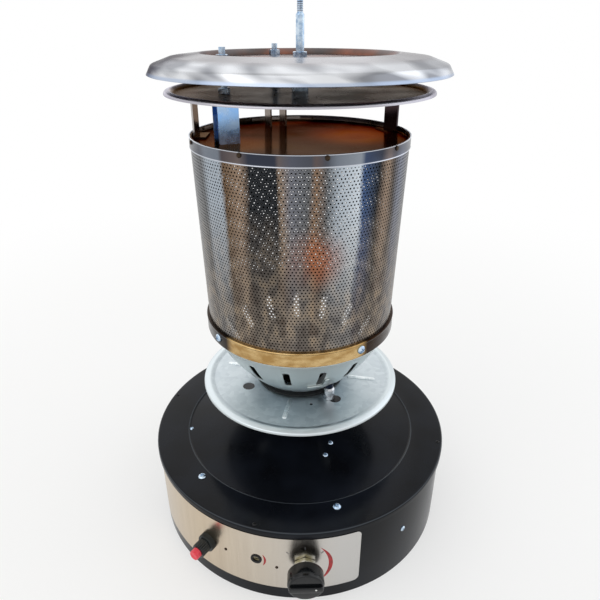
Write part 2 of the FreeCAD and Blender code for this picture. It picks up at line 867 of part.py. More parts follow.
def control_panel():
    body = new_body("control_panel")
    sketch = radial_sketch(body, "panel_start")
    rectangle(sketch, PANEL_BACK, "panel_low", PANEL_FACE, "panel_high")
    curved = revolve(body, sketch, angle="panel_end - panel_start")
    curved.Reversed = False
    doc.recompute()
    rounding = body.newObject("PartDesign::Fillet", "corners")
    rounding.Base = (curved, short_edges(curved.Shape, number("panel_sheet")))
    rounding.setExpression("Radius", bound("panel_corner"))
    body.Tip = rounding
    drill_out(body, "bonnet_neck + slip", "knob_azimuth", "controls_height")
    drill_out(body, "barrel_radius + slip", "igniter_azimuth", "controls_height")
    drill_out(body, "adjuster_radius + running_gap + adjuster_wall + slip", "adjuster_azimuth",
              "adjuster_height")
    for azimuth, height in RIVETS:
        drill_out(body, "panel_rivet * rivet_shank + slip", azimuth, height)


def short_edges(shape, length):
    """Names of the straight edges as long as a sheet is thick."""
    return [f"Edge{index}" for index, edge in enumerate(shape.Edges, start=1)
            if abs(edge.Length - length) < 0.001 and edge.Curve.TypeId == "Part::GeomLine"]


def panel_rivets():
    body = new_body("panel_rivets")
    for azimuth, height in RIVETS:
        radial_screw(body, azimuth, height, PANEL_FACE, "panel_rivet", "panel_rivet / 2",
                     "panel_rivet * rivet_shank", "panel_sheet + steel + rivet_tail")


def gas_valve():
    body = new_body("gas_valve_body")
    sketch = facing_sketch(body, "knob_azimuth", "controls_height", VALVE_BACK)
    rectangle(sketch, "-valve_width / 2", "-valve_tall / 2", "valve_width / 2", "valve_tall / 2",
              "bonnet_flange_depth / 2")
    pad(body, sketch, "valve_depth")
    cavity = facing_sketch(body, "knob_azimuth", "controls_height", VALVE_FLOOR)
    disc(cavity, "valve_cavity")
    cut(body, cavity, outwards=True)
    spun_out("valve_bonnet", "knob_azimuth", "controls_height", [
        (BONNET_BACK, "spindle_radius + running_gap"),
        (BONNET_BACK, "bonnet_flange"),
        (f"{BONNET_BACK} + bonnet_flange_depth", "bonnet_flange", "bonnet_edge"),
        (f"{BONNET_BACK} + bonnet_flange_depth", "bonnet_neck"),
        (NECK_END, "bonnet_neck"),
        (NECK_END, "spindle_radius + running_gap"),
    ])
    bezel = new_body("valve_bezel")
    sketch = facing_sketch(bezel, "knob_azimuth", "controls_height", PANEL_FACE)
    hexagon(sketch, "bezel_flats")
    disc(sketch, "bonnet_neck + running_gap")
    pad(bezel, sketch, "bezel_depth")


def gas_knob():
    rim = "knob_radius"
    front = KNOB_FRONT
    recess = f"{KNOB_BACK} + knob_recess"
    bore = "spindle_radius + running_gap"
    body = spun_out("gas_knob", "knob_azimuth", "controls_height", [
        (KNOB_BACK, f"{rim} - knob_wall"),
        (KNOB_BACK, rim, "knob_edge"),
        (front, f"{rim} - knob_taper", "knob_front_edge"),
        (front, 0),
        (f"{front} - knob_face", 0),
        (f"{front} - knob_face", bore),
        (HUB_BACK, bore),
        (HUB_BACK, "knob_hub"),
        (recess, "knob_hub"),
        (recess, f"{rim} - knob_wall"),
    ])
    grip = facing_sketch(body, "knob_azimuth", "controls_height", f"{front} - grip_sink")
    rectangle(grip, f"-({rim} - grip_inset)", "-grip_width / 2", f"{rim} - grip_inset", "grip_width / 2",
              "grip_width * 0.3")
    pad(body, grip, "grip_height + grip_sink")


def valve_stem():
    tail = f"{COLLAR_BACK} - spring_turns * spring_wire"
    spun_out("valve_spindle", "knob_azimuth", "controls_height", [
        (tail, 0),
        (tail, "spindle_radius"),
        (f"{SHOULDER} - shoulder_length", "spindle_radius"),
        (f"{SHOULDER} - shoulder_length", "shoulder_radius"),
        (SHOULDER, "shoulder_radius"),
        (SHOULDER, "spindle_radius"),
        (f"{KNOB_FRONT} - knob_face - slip", "spindle_radius"),
        (f"{KNOB_FRONT} - knob_face - slip", 0),
    ])
    spun_out("push_collar", "knob_azimuth", "controls_height", [
        (COLLAR_BACK, "spindle_radius + running_gap"),
        (COLLAR_BACK, "collar_radius"),
        (COLLAR_FRONT, "collar_radius"),
        (COLLAR_FRONT, "spindle_radius + running_gap"),
    ])
    shaped("valve_spring", coil("knob_azimuth", "controls_height", f"{VALVE_FLOOR} + slip",
                                f"{COLLAR_BACK} - slip",
                                "(spindle_radius + collar_radius) / 2 + slip",
                                "spring_wire", "spring_turns"))


def igniter():
    bore = "button_radius + running_gap"
    spun_out("igniter_barrel", "igniter_azimuth", "controls_height", [
        (f"{BARREL_BACK} - terminal_length", 0),
        (f"{BARREL_BACK} - terminal_length", "terminal_radius"),
        (BARREL_BACK, "terminal_radius"),
        (BARREL_BACK, "barrel_radius"),
        (f"{BARREL_FACE} - barrel_flange_depth", "barrel_radius"),
        (f"{BARREL_FACE} - barrel_flange_depth", "barrel_flange"),
        (BARREL_FACE, "barrel_flange"),
        (BARREL_FACE, "barrel_radius"),
        (BARREL_END, "barrel_radius", "barrel_edge"),
        (BARREL_END, bore),
        (BARREL_FLOOR, bore),
        (BARREL_FLOOR, 0),
    ])
    spun_out("igniter_nut", "igniter_azimuth", "controls_height", [
        (PANEL_FACE, "barrel_radius + running_gap"),
        (PANEL_FACE, "igniter_nut_radius"),
        (f"{PANEL_FACE} + igniter_nut_depth", "igniter_nut_radius", "igniter_nut_edge"),
        (f"{PANEL_FACE} + igniter_nut_depth", "barrel_radius + running_gap"),
    ])
    spun_out("igniter_button", "igniter_azimuth", "controls_height", [
        (BUTTON_BACK, 0),
        (BUTTON_BACK, "button_radius"),
        (f"{BARREL_END} + button_proud", "button_radius", "button_edge"),
        (f"{BARREL_END} + button_proud", 0),
    ])
    shaped("igniter_spring", coil("igniter_azimuth", "controls_height",
                                  f"{BARREL_FLOOR} + slip", f"{BUTTON_BACK} - slip",
                                  "button_radius - spring_wire - 3 * slip",
                                  "spring_wire * 0.7", "spring_turns"))


def pilot_adjuster():
    bore = "adjuster_radius + running_gap"
    tube = f"{bore} + adjuster_wall"
    back = "(wall_radius - adjuster_length * adjuster_bush_share)"
    spun_out("adjuster_bush", "adjuster_azimuth", "adjuster_height", [
        (back, bore),
        (back, tube),
        (PANEL_FACE, tube),
        (PANEL_FACE, "adjuster_flange"),
        (f"{PANEL_FACE} + adjuster_flange_depth", "adjuster_flange", "adjuster_edge"),
        (f"{PANEL_FACE} + adjuster_flange_depth", bore),
    ])
    face = f"({PANEL_FACE} - panel_sheet / 2)"
    body = spun_out("adjuster_screw", "adjuster_azimuth", "adjuster_height", [
        (f"{face} - adjuster_length", 0),
        (f"{face} - adjuster_length", f"{tube}"),
        (f"{back} - end_gap", f"{tube}"),
        (f"{back} - end_gap", "adjuster_radius"),
        (face, "adjuster_radius"),
        (face, 0),
    ])
    slot = facing_sketch(body, "adjuster_azimuth", "adjuster_height", f"{face} - slot_depth")
    rectangle(slot, "-2 * adjuster_radius", "-slot_width / 2", "2 * adjuster_radius", "slot_width / 2")
    cut(body, slot, outwards=True)


# Tilt switch: a weight on a pin that lets go of the gas when the heater leans

def cone_sketch(body, radius, azimuth):
    """Sketch that stands square on the cover's cone."""
    height = f"{CONE_FOOT} + ({CONE_FOOT_RADIUS} - {radius}) * {CONE_SLOPE}"
    return radial_sketch(body, azimuth, radius, height, f"(-atan({CONE_SLOPE}))")


def tilt_switch():
    under = f"({CONE_FOOT} - steel - tilt_clear)"
    inner = "(tilt_radius - tilt_depth / 2)"
    outer = "(tilt_radius + tilt_depth / 2)"
    low_top = f"({under} + ({CONE_FOOT_RADIUS} - {outer}) * {CONE_SLOPE})"
    high_top = f"({under} + ({CONE_FOOT_RADIUS} - {inner}) * {CONE_SLOPE})"
    roof = f"({low_top} - tilt_block)"
    floor = f"({roof} - tilt_height)"
    case = new_body("tilt_switch_case")
    sketch = radial_sketch(case, "tilt_azimuth")
    outline(sketch, [(inner, floor), (outer, floor), (outer, low_top), (inner, high_top)])
    pad(case, sketch, "tilt_width", middle=True)
    sketch = radial_sketch(case, "tilt_azimuth")
    rectangle(sketch, f"{inner} + tilt_wall", f"{floor} + tilt_wall", f"{outer} - tilt_wall", roof)
    cut(case, sketch, "tilt_width - 2 * tilt_wall", both=True)
    for radius, azimuth in TILT_SCREWS:
        bore(case, cone_sketch(case, radius, azimuth), "tilt_screw_shank + running_gap",
             "-tilt_screw_length - 1", 1)
    pin_height = f"({roof} - tilt_pin - tilt_pin_drop)"
    sketch = radial_sketch(case, "tilt_azimuth")
    disc(sketch, "tilt_pin", "tilt_radius", pin_height)
    cut(case, sketch, "tilt_width + 2", both=True)
    pin = new_body("tilt_pin")
    sketch = radial_sketch(pin, "tilt_azimuth")
    disc(sketch, "tilt_pin", "tilt_radius", pin_height)
    pad(pin, sketch, "tilt_width", middle=True)
    bob = new_body("tilt_pendulum")
    sketch = radial_sketch(bob, "tilt_azimuth")
    disc(sketch, "tilt_pin + bob_eye", "tilt_radius", pin_height)
    disc(sketch, "tilt_pin + running_gap", "tilt_radius", pin_height)
    pad(bob, sketch, "bob_radius", middle=True)
    sketch = radial_sketch(bob, "tilt_azimuth", "tilt_radius", f"{pin_height} - bob_drop")
    outline(sketch, [
        (0, "-bob_height / 2"),
        ("bob_radius", "-bob_height / 2"),
        ("bob_radius", "bob_height / 2"),
        ("bob_rod", "bob_height / 2"),
        ("bob_rod", "bob_drop - tilt_pin - bob_joint"),
        (0, "bob_drop - tilt_pin - bob_joint"),
    ])
    revolve(bob, sketch)
    screws = new_body("tilt_switch_screws")
    for radius, azimuth in TILT_SCREWS:
        sketch = cone_sketch(screws, radius, azimuth)
        outline(sketch, pan_head("tilt_screw_head", "tilt_screw_head_height", "tilt_screw_shank",
                                 "tilt_screw_length"))
        revolve(screws, sketch)


# Gas way

def gas_way():
    hex_top = "(inlet_end + inlet_thread_length + inlet_hex_height)"
    fitting = new_body("gas_inlet_fitting")
    sketch = level_sketch(fitting, "inlet_end", "-(inlet_y)", 0)
    disc(sketch, "inlet_thread")
    pad(fitting, sketch, "inlet_thread_length")
    sketch = level_sketch(fitting, "inlet_end + inlet_thread_length", "-(inlet_y)", 0)
    hexagon(sketch, "inlet_hex")
    pad(fitting, sketch, "inlet_hex_height")
    drill_down(fitting, "inlet_bore", "-(inlet_y)", 0, "inlet_end - 1", f"{hex_top} + 1")
    inlet = Vector(0, number("inlet_y"), 0)
    back = number(VALVE_BACK) * math.cos(math.radians(number("knob_azimuth")))
    high = number("inlet_pipe_height")
    route = [inlet + Vector(0, 0, number(hex_top)), inlet + Vector(0, 0, high),
             Vector(0, -back + end_slack(), high)]
    shaped("inlet_pipe", bent_rod(route, number("pipe_bend"), number("pipe_radius")))
    supply = number("supply_height")
    route = [Vector(0, -back + end_slack(), supply), Vector(0, -number("jet_holder_flats / 2"), supply)]
    run = Part.makeCylinder(number("pipe_radius"), (route[1] - route[0]).Length, route[0],
                            route[1] - route[0])
    shaped("burner_supply_pipe", run)
    jet = new_body("gas_jet")
    sketch = level_sketch(jet, "supply_height - jet_holder_height / 2")
    hexagon(sketch, "jet_holder_flats")
    pad(jet, sketch, "jet_holder_height")
    sketch = radial_sketch(jet)
    outline(sketch, [
        (0, "supply_height"),
        ("jet_radius", "supply_height"),
        ("jet_radius", f"{TUBE_FOOT} + jet_length * jet_taper_start"),
        ("jet_nose", f"{TUBE_FOOT} + jet_length"),
        (0, f"{TUBE_FOOT} + jet_length"),
    ])
    revolve(jet, sketch)
    drill_down(jet, "jet_bore", 0, 0, "supply_height", f"{TUBE_FOOT} + jet_length + 1")


def end_slack():
    """Distance by which a straight pipe stays short of the turned back of the valve."""
    return number("valve_width / 2 * sin(knob_azimuth) * pipe_slack")


def mixing_tube():
    body = spun("mixing_tube", [
        ("jet_radius + slip", TUBE_FOOT),
        ("tube_radius", TUBE_FOOT),
        ("tube_radius", f"{BOWL_FOOT} + bowl_sheet"),
        ("tube_flange", f"{BOWL_FOOT} + bowl_sheet"),
        ("tube_flange", f"{BOWL_FOOT} + bowl_sheet + tube_wall"),
        ("tube_radius", f"{BOWL_FOOT} + bowl_sheet + tube_wall"),
        ("tube_radius", "tube_top"),
        ("tube_radius - tube_wall", "tube_top"),
        ("tube_radius - tube_wall", f"{TUBE_FOOT} + tube_wall"),
        ("jet_radius + slip", f"{TUBE_FOOT} + tube_wall"),
    ])
    window = facing_sketch(body, "air_window_azimuth",
                           f"{TUBE_FOOT} + tube_wall + air_window_height / 2 + air_window_lift")
    rectangle(window, "-air_window_width / 2", "-air_window_height / 2", "air_window_width / 2",
              "air_window_height / 2", "air_window_corner")
    around(body, cut(body, window, outwards=True), "air_window_count")
    rod_holes(body, f"{BOWL_FOOT}", f"{BOWL_FOOT} + 3 * tube_wall")
    neck = spun("burner_neck", [
        ("neck_radius - steel", f"{CONE_TOP} - steel"),
        ("neck_radius", f"{CONE_TOP} - steel"),
        ("neck_radius", DISC_FLOOR),
        ("foot_bolt_radius - neck_lip", DISC_FLOOR),
        ("foot_bolt_radius - neck_lip", f"{DISC_FLOOR} - steel"),
        ("neck_radius - steel", f"{DISC_FLOOR} - steel"),
    ])
    foot_bolt_holes(neck, f"{DISC_FLOOR} - 2 * steel", f"{DISC_FLOOR} + steel")


def foot_bolt_holes(body, low, high):
    """The three holes for the bolts that clamp bowl, gasket, disc and neck."""
    drill_down(body, "foot_bolt_shank + screw_hole_gap", "foot_bolt_radius", "foot_bolt_azimuth",
               low, high, 3)


def rod_holes(body, low, high):
    """Holes for the thermocouple and the electrode beside the mixing tube."""
    drill_down(body, "rod_radius + rod_gap", "rod_at", "thermocouple_azimuth", low, high)
    drill_down(body, "insulator_radius + rod_gap", "rod_at", "electrode_azimuth", low, high)


# Disc, bowl and burner

def heat_disc():
    rim_foot = "(disc_radius - rim_width)"
    rim_crest = "(disc_radius - rim_width / 2)"
    body = spun("heat_disc", [
        ("tube_radius + slip", DISC_FLOOR),
        (rim_foot, DISC_FLOOR),
        (rim_crest, f"{DISC_FLOOR} + rim_rise", "rim_width / 3"),
        ("disc_radius - disc_sheet", f"{DISC_FLOOR} + rim_rise / 3", "rim_rise / 3"),
        ("disc_radius - disc_sheet", f"{DISC_FLOOR} - rim_drop"),
        ("disc_radius", f"{DISC_FLOOR} - rim_drop"),
        ("disc_radius", "disc_top + rim_rise / 3", "rim_rise / 2"),
        (rim_crest, "disc_top + rim_rise", "rim_width / 3 + disc_sheet"),
        (rim_foot, "disc_top"),
        ("tube_radius + slip", "disc_top"),
    ])
    for radius, azimuth, size in DISC_HOLES:
        drill_down(body, size, radius, azimuth, f"{DISC_FLOOR} - disc_sheet", "disc_top + disc_sheet")
    foot_bolt_holes(body, f"{DISC_FLOOR} - disc_sheet", "disc_top + disc_sheet")
    rod_holes(body, f"{DISC_FLOOR} - disc_sheet", "disc_top + disc_sheet")
    rib = level_sketch(body, "disc_top", 0, "disc_rib_azimuth")
    rectangle(rib, "disc_rib_start", "-disc_rib_width / 2", "disc_rib_start + disc_rib_length",
              "disc_rib_width / 2", "disc_rib_end")
    around(body, pad(body, rib, "disc_rib_height"), "disc_rib_count")


def burner_bowl():
    body = spun("burner_bowl", [
        ("tube_radius + slip", BOWL_FOOT),
        ("bowl_foot_radius", BOWL_FOOT),
        ("bow", "bowl_bow"),
        ("bowl_top_radius", BOWL_TOP),
        ("bowl_top_radius + bowl_flange", BOWL_TOP),
        ("bowl_top_radius + bowl_flange", f"{BOWL_TOP} + bowl_sheet"),
        ("bowl_top_radius - bowl_sheet", f"{BOWL_TOP} + bowl_sheet"),
        ("bow", "-bowl_bow"),
        ("bowl_foot_radius - bowl_sheet", f"{BOWL_FOOT} + bowl_sheet"),
        ("tube_radius + slip", f"{BOWL_FOOT} + bowl_sheet"),
    ])
    slot = facing_sketch(body, "slot_azimuth", "(slot_low + slot_high) / 2")
    tall = "(slot_high - slot_low) / 2"
    rectangle(slot, "-slot_wide / 2", f"-{tall}", "slot_wide / 2", tall, "slot_corner")
    around(body, cut(body, slot, outwards=True), "slot_count")
    foot_bolt_holes(body, f"{BOWL_FOOT} - steel", f"{BOWL_FOOT} + 2 * steel")
    rod_holes(body, f"{BOWL_FOOT} - steel", f"{BOWL_FOOT} + 2 * steel")
    drill_down(body, "pilot_opening", "pilot_at", "pilot_azimuth", BOWL_FOOT, "slot_low")


def bowl_face(share):
    """Point on the bowl's outside, at a share of the way from its foot to its top."""
    across = "(bowl_top_radius - bowl_foot_radius)"
    chord = f"sqrt(pow({across}; 2) + pow(bowl_height; 2))"
    radius = f"(pow({chord}; 2) / (8 * bowl_bow) + bowl_bow / 2)"
    bulge = f"(sqrt(pow({radius}; 2) - pow({chord} * (({share}) - 0.5); 2)) - {radius} + bowl_bow)"
    return (f"(bowl_foot_radius + {across} * ({share}) + {bulge} * bowl_height / {chord})",
            f"({BOWL_FOOT} + bowl_height * ({share}) - {bulge} * {across} / {chord})")


def pilot_strip():
    """Small bent strip that lies on the bowl beside and below one slot."""
    body = new_body("pilot_strip")
    foot_on_bowl(body, "strip_start", "strip_turn", "strip_width")
    foot_on_bowl(body, "strip_start + strip_turn", "strip_leg_turn", "strip_leg")


def foot_on_bowl(body, start, turn, rise):
    """Strip along the bowl's outside, from the strip's place up."""
    spots = [bowl_face(f"strip_place + {rise} / bowl_height * {share}") for share in (0, 0.5, 1)]
    inner = [(f"{x} + strip_gap", y) for x, y in spots]
    outer = [(f"{x} + strip_gap + strip_sheet", f"{y} - strip_sheet * strip_lean") for x, y in spots]
    sketch = radial_sketch(body, start)
    outline(sketch, outer + inner[::-1])
    revolve(body, sketch, angle=turn)


def bowl_gasket():
    body = spun("bowl_gasket", [
        ("foot_bolt_radius - gasket_lip", "disc_top"),
        ("gasket_radius", "disc_top"),
        ("gasket_radius", BOWL_FOOT),
        ("foot_bolt_radius - gasket_lip", BOWL_FOOT),
    ])
    foot_bolt_holes(body, "disc_top - steel", f"{BOWL_FOOT} + steel")


def foot_bolts():
    """Hexagon bolts from inside the bowl, with their nuts under the neck."""
    head = f"({BOWL_FOOT} + bowl_sheet)"
    nut = f"({DISC_FLOOR} - steel)"
    bolts = new_body("foot_bolts")
    nuts = new_body("foot_nuts")
    for turn in (0, 120, 240):
        azimuth = f"(foot_bolt_azimuth + {turn})"
        sketch = level_sketch(bolts, head, "foot_bolt_radius", azimuth)
        hexagon(sketch, "foot_bolt_flats")
        pad(bolts, sketch, "foot_bolt_head")
        sketch = level_sketch(bolts, f"{nut} - foot_bolt_head - foot_bolt_end", "foot_bolt_radius",
                              azimuth)
        disc(sketch, "foot_bolt_shank")
        pad(bolts, sketch, f"{head} - {nut} + foot_bolt_head + foot_bolt_end")
        sketch = level_sketch(nuts, f"{nut} - foot_bolt_head", "foot_bolt_radius", azimuth)
        hexagon(sketch, "foot_bolt_flats")
        disc(sketch, "foot_bolt_shank + running_gap")
        pad(nuts, sketch, "foot_bolt_head")


def burner_head():
    body = spun("burner_head", [
        ("tube_radius + slip", "tube_top - head_height / 3"),
        ("head_radius", "tube_top - head_height / 3"),
        ("head_radius", "tube_top + head_height * 2 / 3", "head_edge_round"),
        (0, "tube_top + head_height * 2 / 3"),
        (0, "tube_top + head_height * 2 / 3 - head_sheet"),
        ("head_radius - head_sheet", "tube_top + head_height * 2 / 3 - head_sheet",
         "head_edge_round - head_sheet"),
        ("head_radius - head_sheet", "tube_top - head_height / 3 + head_sheet"),
        ("tube_radius + slip", "tube_top - head_height / 3 + head_sheet"),
    ])
    port = facing_sketch(body, 0, "tube_top + head_height / 3")
    disc(port, "flame_port")
    around(body, cut(body, port, outwards=True), "flame_port_count")


def pilot():
    floor = "disc_top"
    body = new_body("pilot_burner")
    sketch = radial_sketch(body, "pilot_azimuth", "pilot_at", floor)
    outline(sketch, [
        (0, 0),
        ("pilot_radius", 0),
        ("pilot_radius", "pilot_height", "pilot_edge"),
        ("hood_radius", "pilot_height"),
        ("hood_radius", "pilot_height + hood_height", "hood_edge"),
        (0, "pilot_height + hood_height"),
    ])
    revolve(body, sketch)
    valve_top = "controls_height + valve_tall / 2"
    level = f"{valve_top} + pilot_tube_rise"
    port = (f"{VALVE_BACK} + pilot_port_inset", "knob_azimuth + pilot_port_turn")
    route = [
        polar(*port, valve_top),
        polar(*port, level),
        polar("pilot_pass", "knob_azimuth + pilot_tube_turn", level),
        polar("pilot_pass", "pilot_azimuth", level),
        polar("pilot_pass", "pilot_azimuth", "disc_top - pilot_bend_low"),
        polar("pilot_at", "pilot_azimuth", "disc_top - pilot_bend_high"),
        polar("pilot_at", "pilot_azimuth", "disc_top"),
    ]
    shaped("pilot_gas_tube", bent_rod(route, 5 * number("pilot_tube_radius"),
                                      number("pilot_tube_radius")))


def spark_and_thermocouple():
    top = number("rod_top")
    rod = number("rod_radius")
    foot = polar("rod_at", "thermocouple_azimuth", 0)
    level = number("controls_height + valve_tall / 2 + thermocouple_rise")
    start = polar(f"{VALVE_BACK} + thermocouple_inset", "knob_azimuth + thermocouple_turn",
                  "controls_height + valve_tall / 2")
    route = [start, Vector(start.x, start.y, level), Vector(foot.x, foot.y, level),
             Vector(foot.x, foot.y, top)]
    shaped("thermocouple", bent_rod(route, 5 * rod, rod))
    low = "(tube_top - insulator_drop)"
    spark = new_body("spark_electrode")
    sketch = radial_sketch(spark, "electrode_azimuth", "rod_at")
    outline(sketch, [
        (0, low),
        ("insulator_radius", low, "insulator_edge"),
        ("insulator_radius", "rod_top - spark_wire_length", "insulator_edge"),
        ("electrode_wire", "rod_top - spark_wire_length"),
        ("electrode_wire", "rod_top"),
        (0, "rod_top"),
    ])
    revolve(spark, sketch)
    lead_end = polar("rod_at", "electrode_azimuth", low)
    terminal = polar(f"{BARREL_BACK} - terminal_length", "igniter_azimuth", "controls_height")
    inner = polar(f"{BARREL_BACK} - terminal_length - lead_straight", "igniter_azimuth",
                  "controls_height")
    turn = Vector(inner.x, inner.y, number("controls_height + lead_rise"))
    below = Vector(lead_end.x, lead_end.y, turn.z)
    route = [terminal, inner, turn, below, lead_end]
    lead = number("lead_radius")
    shaped("ignition_lead", bent_rod(route, 6 * lead, lead))


# Emitter

def emitter():
    ring = spun("emitter_base_ring", [
        ("bowl_top_radius - ring_lip", RING_FOOT),
        (RING_RADIUS, RING_FOOT, "bend"),
        (RING_RADIUS, f"{RING_TOP} - ring_flare_height"),
        (f"{RING_RADIUS} + ring_flare", RING_TOP),
        (f"{RING_RADIUS} + ring_flare - ring_sheet", RING_TOP),
        (f"{RING_RADIUS} - ring_sheet", f"{RING_TOP} - ring_flare_height"),
        (f"{RING_RADIUS} - ring_sheet", SCREEN_FOOT, "bend - ring_sheet"),
        ("bowl_top_radius - ring_lip", SCREEN_FOOT),
    ])
    ring_screw_height = f"{RING_FOOT} + ring_screw_height"
    drill_out(ring, "ring_screw_shank + screw_hole_gap", "ring_screw_azimuth", ring_screw_height,
              "ring_screw_count")
    screen = spun("emitter_screen", [
        (SCREEN_FOOT_RADIUS, SCREEN_FOOT),
        (SCREEN_TOP_RADIUS, "emitter_top - screen_short"),
        (f"{SCREEN_TOP_RADIUS} - screen_sheet", "emitter_top - screen_short"),
        (f"{SCREEN_FOOT_RADIUS} - screen_sheet", SCREEN_FOOT),
    ])
    drill_out(screen, "ring_screw_shank + screw_hole_gap", "ring_screw_azimuth", ring_screw_height,
              "ring_screw_count")
    mesh_openings(screen, f"({RING_TOP} + mesh_margin)", "(emitter_top - band_height - mesh_margin)")
    band_bore = f"({SCREEN_TOP_RADIUS} + slip)"
    band = spun("emitter_top_band", [
        (band_bore, "emitter_top - band_height"),
        (f"{band_bore} + band_sheet", "emitter_top - band_height"),
        (f"{band_bore} + band_sheet", "emitter_top"),
        (band_bore, "emitter_top"),
    ])
    plate_radius = f"({SCREEN_TOP_RADIUS} - screen_sheet - slip * 3)"
    plate = spun("emitter_top_plate", [
        (0, f"{PLATE_TOP} - plate_sheet"),
        (plate_radius, f"{PLATE_TOP} - plate_sheet", "bend"),
        (plate_radius, "emitter_top - plate_short"),
        (f"{plate_radius} - plate_sheet", "emitter_top - plate_short"),
        (f"{plate_radius} - plate_sheet", PLATE_TOP, "bend - plate_sheet"),
        (0, PLATE_TOP),
    ])
    rivet_height = f"({PLATE_TOP} + band_rivet_rise)"
    for body in (screen, band, plate):
        drill_out(body, "band_rivet_radius * rivet_shank + slip", "band_rivet_azimuth", rivet_height,
                  "band_rivet_count")
    rivets = new_body("band_rivets")
    rivet = radial_screw(rivets, "band_rivet_azimuth", rivet_height, f"{band_bore} + band_sheet",
                         "band_rivet_radius", "band_rivet_head", "band_rivet_radius * rivet_shank",
                         "band_sheet + slip * 4 + screen_sheet + plate_sheet + band_rivet_tail")
    around(rivets, rivet, "band_rivet_count")
    screws = new_body("base_ring_screws")
    screw = radial_screw(screws, "ring_screw_azimuth", ring_screw_height, RING_RADIUS,
                         "ring_screw_head", "ring_screw_head_height", "ring_screw_shank",
                         "ring_screw_length")
    around(screws, screw, "ring_screw_count")
    nuts = new_body("base_ring_nuts")
    inner = f"({SCREEN_FOOT_RADIUS} - screen_sheet - slip)"
    sketch = facing_sketch(nuts, "ring_screw_azimuth", ring_screw_height, f"{inner} - ring_nut_height")
    hexagon(sketch, "ring_nut_flats")
    disc(sketch, "ring_screw_shank + running_gap")
    around(nuts, pad(nuts, sketch, "ring_nut_height"), "ring_screw_count")


def mesh_openings(screen, low, high):
    """Coarse grid of round openings, as open as the fine perforation of the real sheet."""
    sketch = facing_sketch(screen)
    step = f"(({high} - {low}) / mesh_rows)"
    for row in range(int(number("mesh_rows"))):
        disc(sketch, f"{step} * mesh_share / 2", 0, f"{low} + {step} * {row + 0.5}")
    around(screen, cut(screen, sketch, outwards=True), "mesh_columns")


# Posts, hangers and the two top plates

def side_posts():
    """Flat straps with a foot on the emitter's plate and one under the flange."""
    outer = POST_RADIUS
    inner = f"({outer} - post_sheet)"
    body = new_body("side_posts")
    for azimuth in ("post_azimuth_a", "post_azimuth_b"):
        sketch = radial_sketch(body, azimuth)
        outline(sketch, [
            (outer, PLATE_TOP, "bend"),
            (outer, FLANGE_FLOOR, "bend"),
            (f"{outer} - post_foot", FLANGE_FLOOR),
            (f"{outer} - post_foot", f"{FLANGE_FLOOR} - post_sheet"),
            (inner, f"{FLANGE_FLOOR} - post_sheet"),
            (inner, f"{PLATE_TOP} + post_sheet"),
            (f"{outer} - post_foot", f"{PLATE_TOP} + post_sheet"),
            (f"{outer} - post_foot", PLATE_TOP),
        ])
        pad(body, sketch, "post_width", middle=True)


def hanger_brackets():
    """U-shaped brackets: a web under the flange and two legs down to the plate."""
    half = "(hanger_gap / 2 + hanger_sheet)"
    body = new_body("hanger_brackets")
    for azimuth in HANGERS:
        sketch = facing_sketch(body, azimuth, 0, "hanger_radius")
        outline(sketch, [
            (f"-{half}", PLATE_TOP),
            (f"-{half}", FLANGE_FLOOR, "bend + hanger_sheet"),
            (half, FLANGE_FLOOR, "bend + hanger_sheet"),
            (half, PLATE_TOP),
            (f"{half} - hanger_sheet", PLATE_TOP),
            (f"{half} - hanger_sheet", f"{FLANGE_FLOOR} - hanger_sheet", "bend"),
            (f"-{half} + hanger_sheet", f"{FLANGE_FLOOR} - hanger_sheet", "bend"),
            (f"-{half} + hanger_sheet", PLATE_TOP),
        ])
        pad(body, sketch, "hanger_width", middle=True)
        drill_down(body, "hanger_bolt_radius + screw_hole_gap", "hanger_radius", azimuth,
                   f"{FLANGE_FLOOR} - 3 * hanger_sheet", f"{FLANGE_FLOOR} + hanger_sheet")


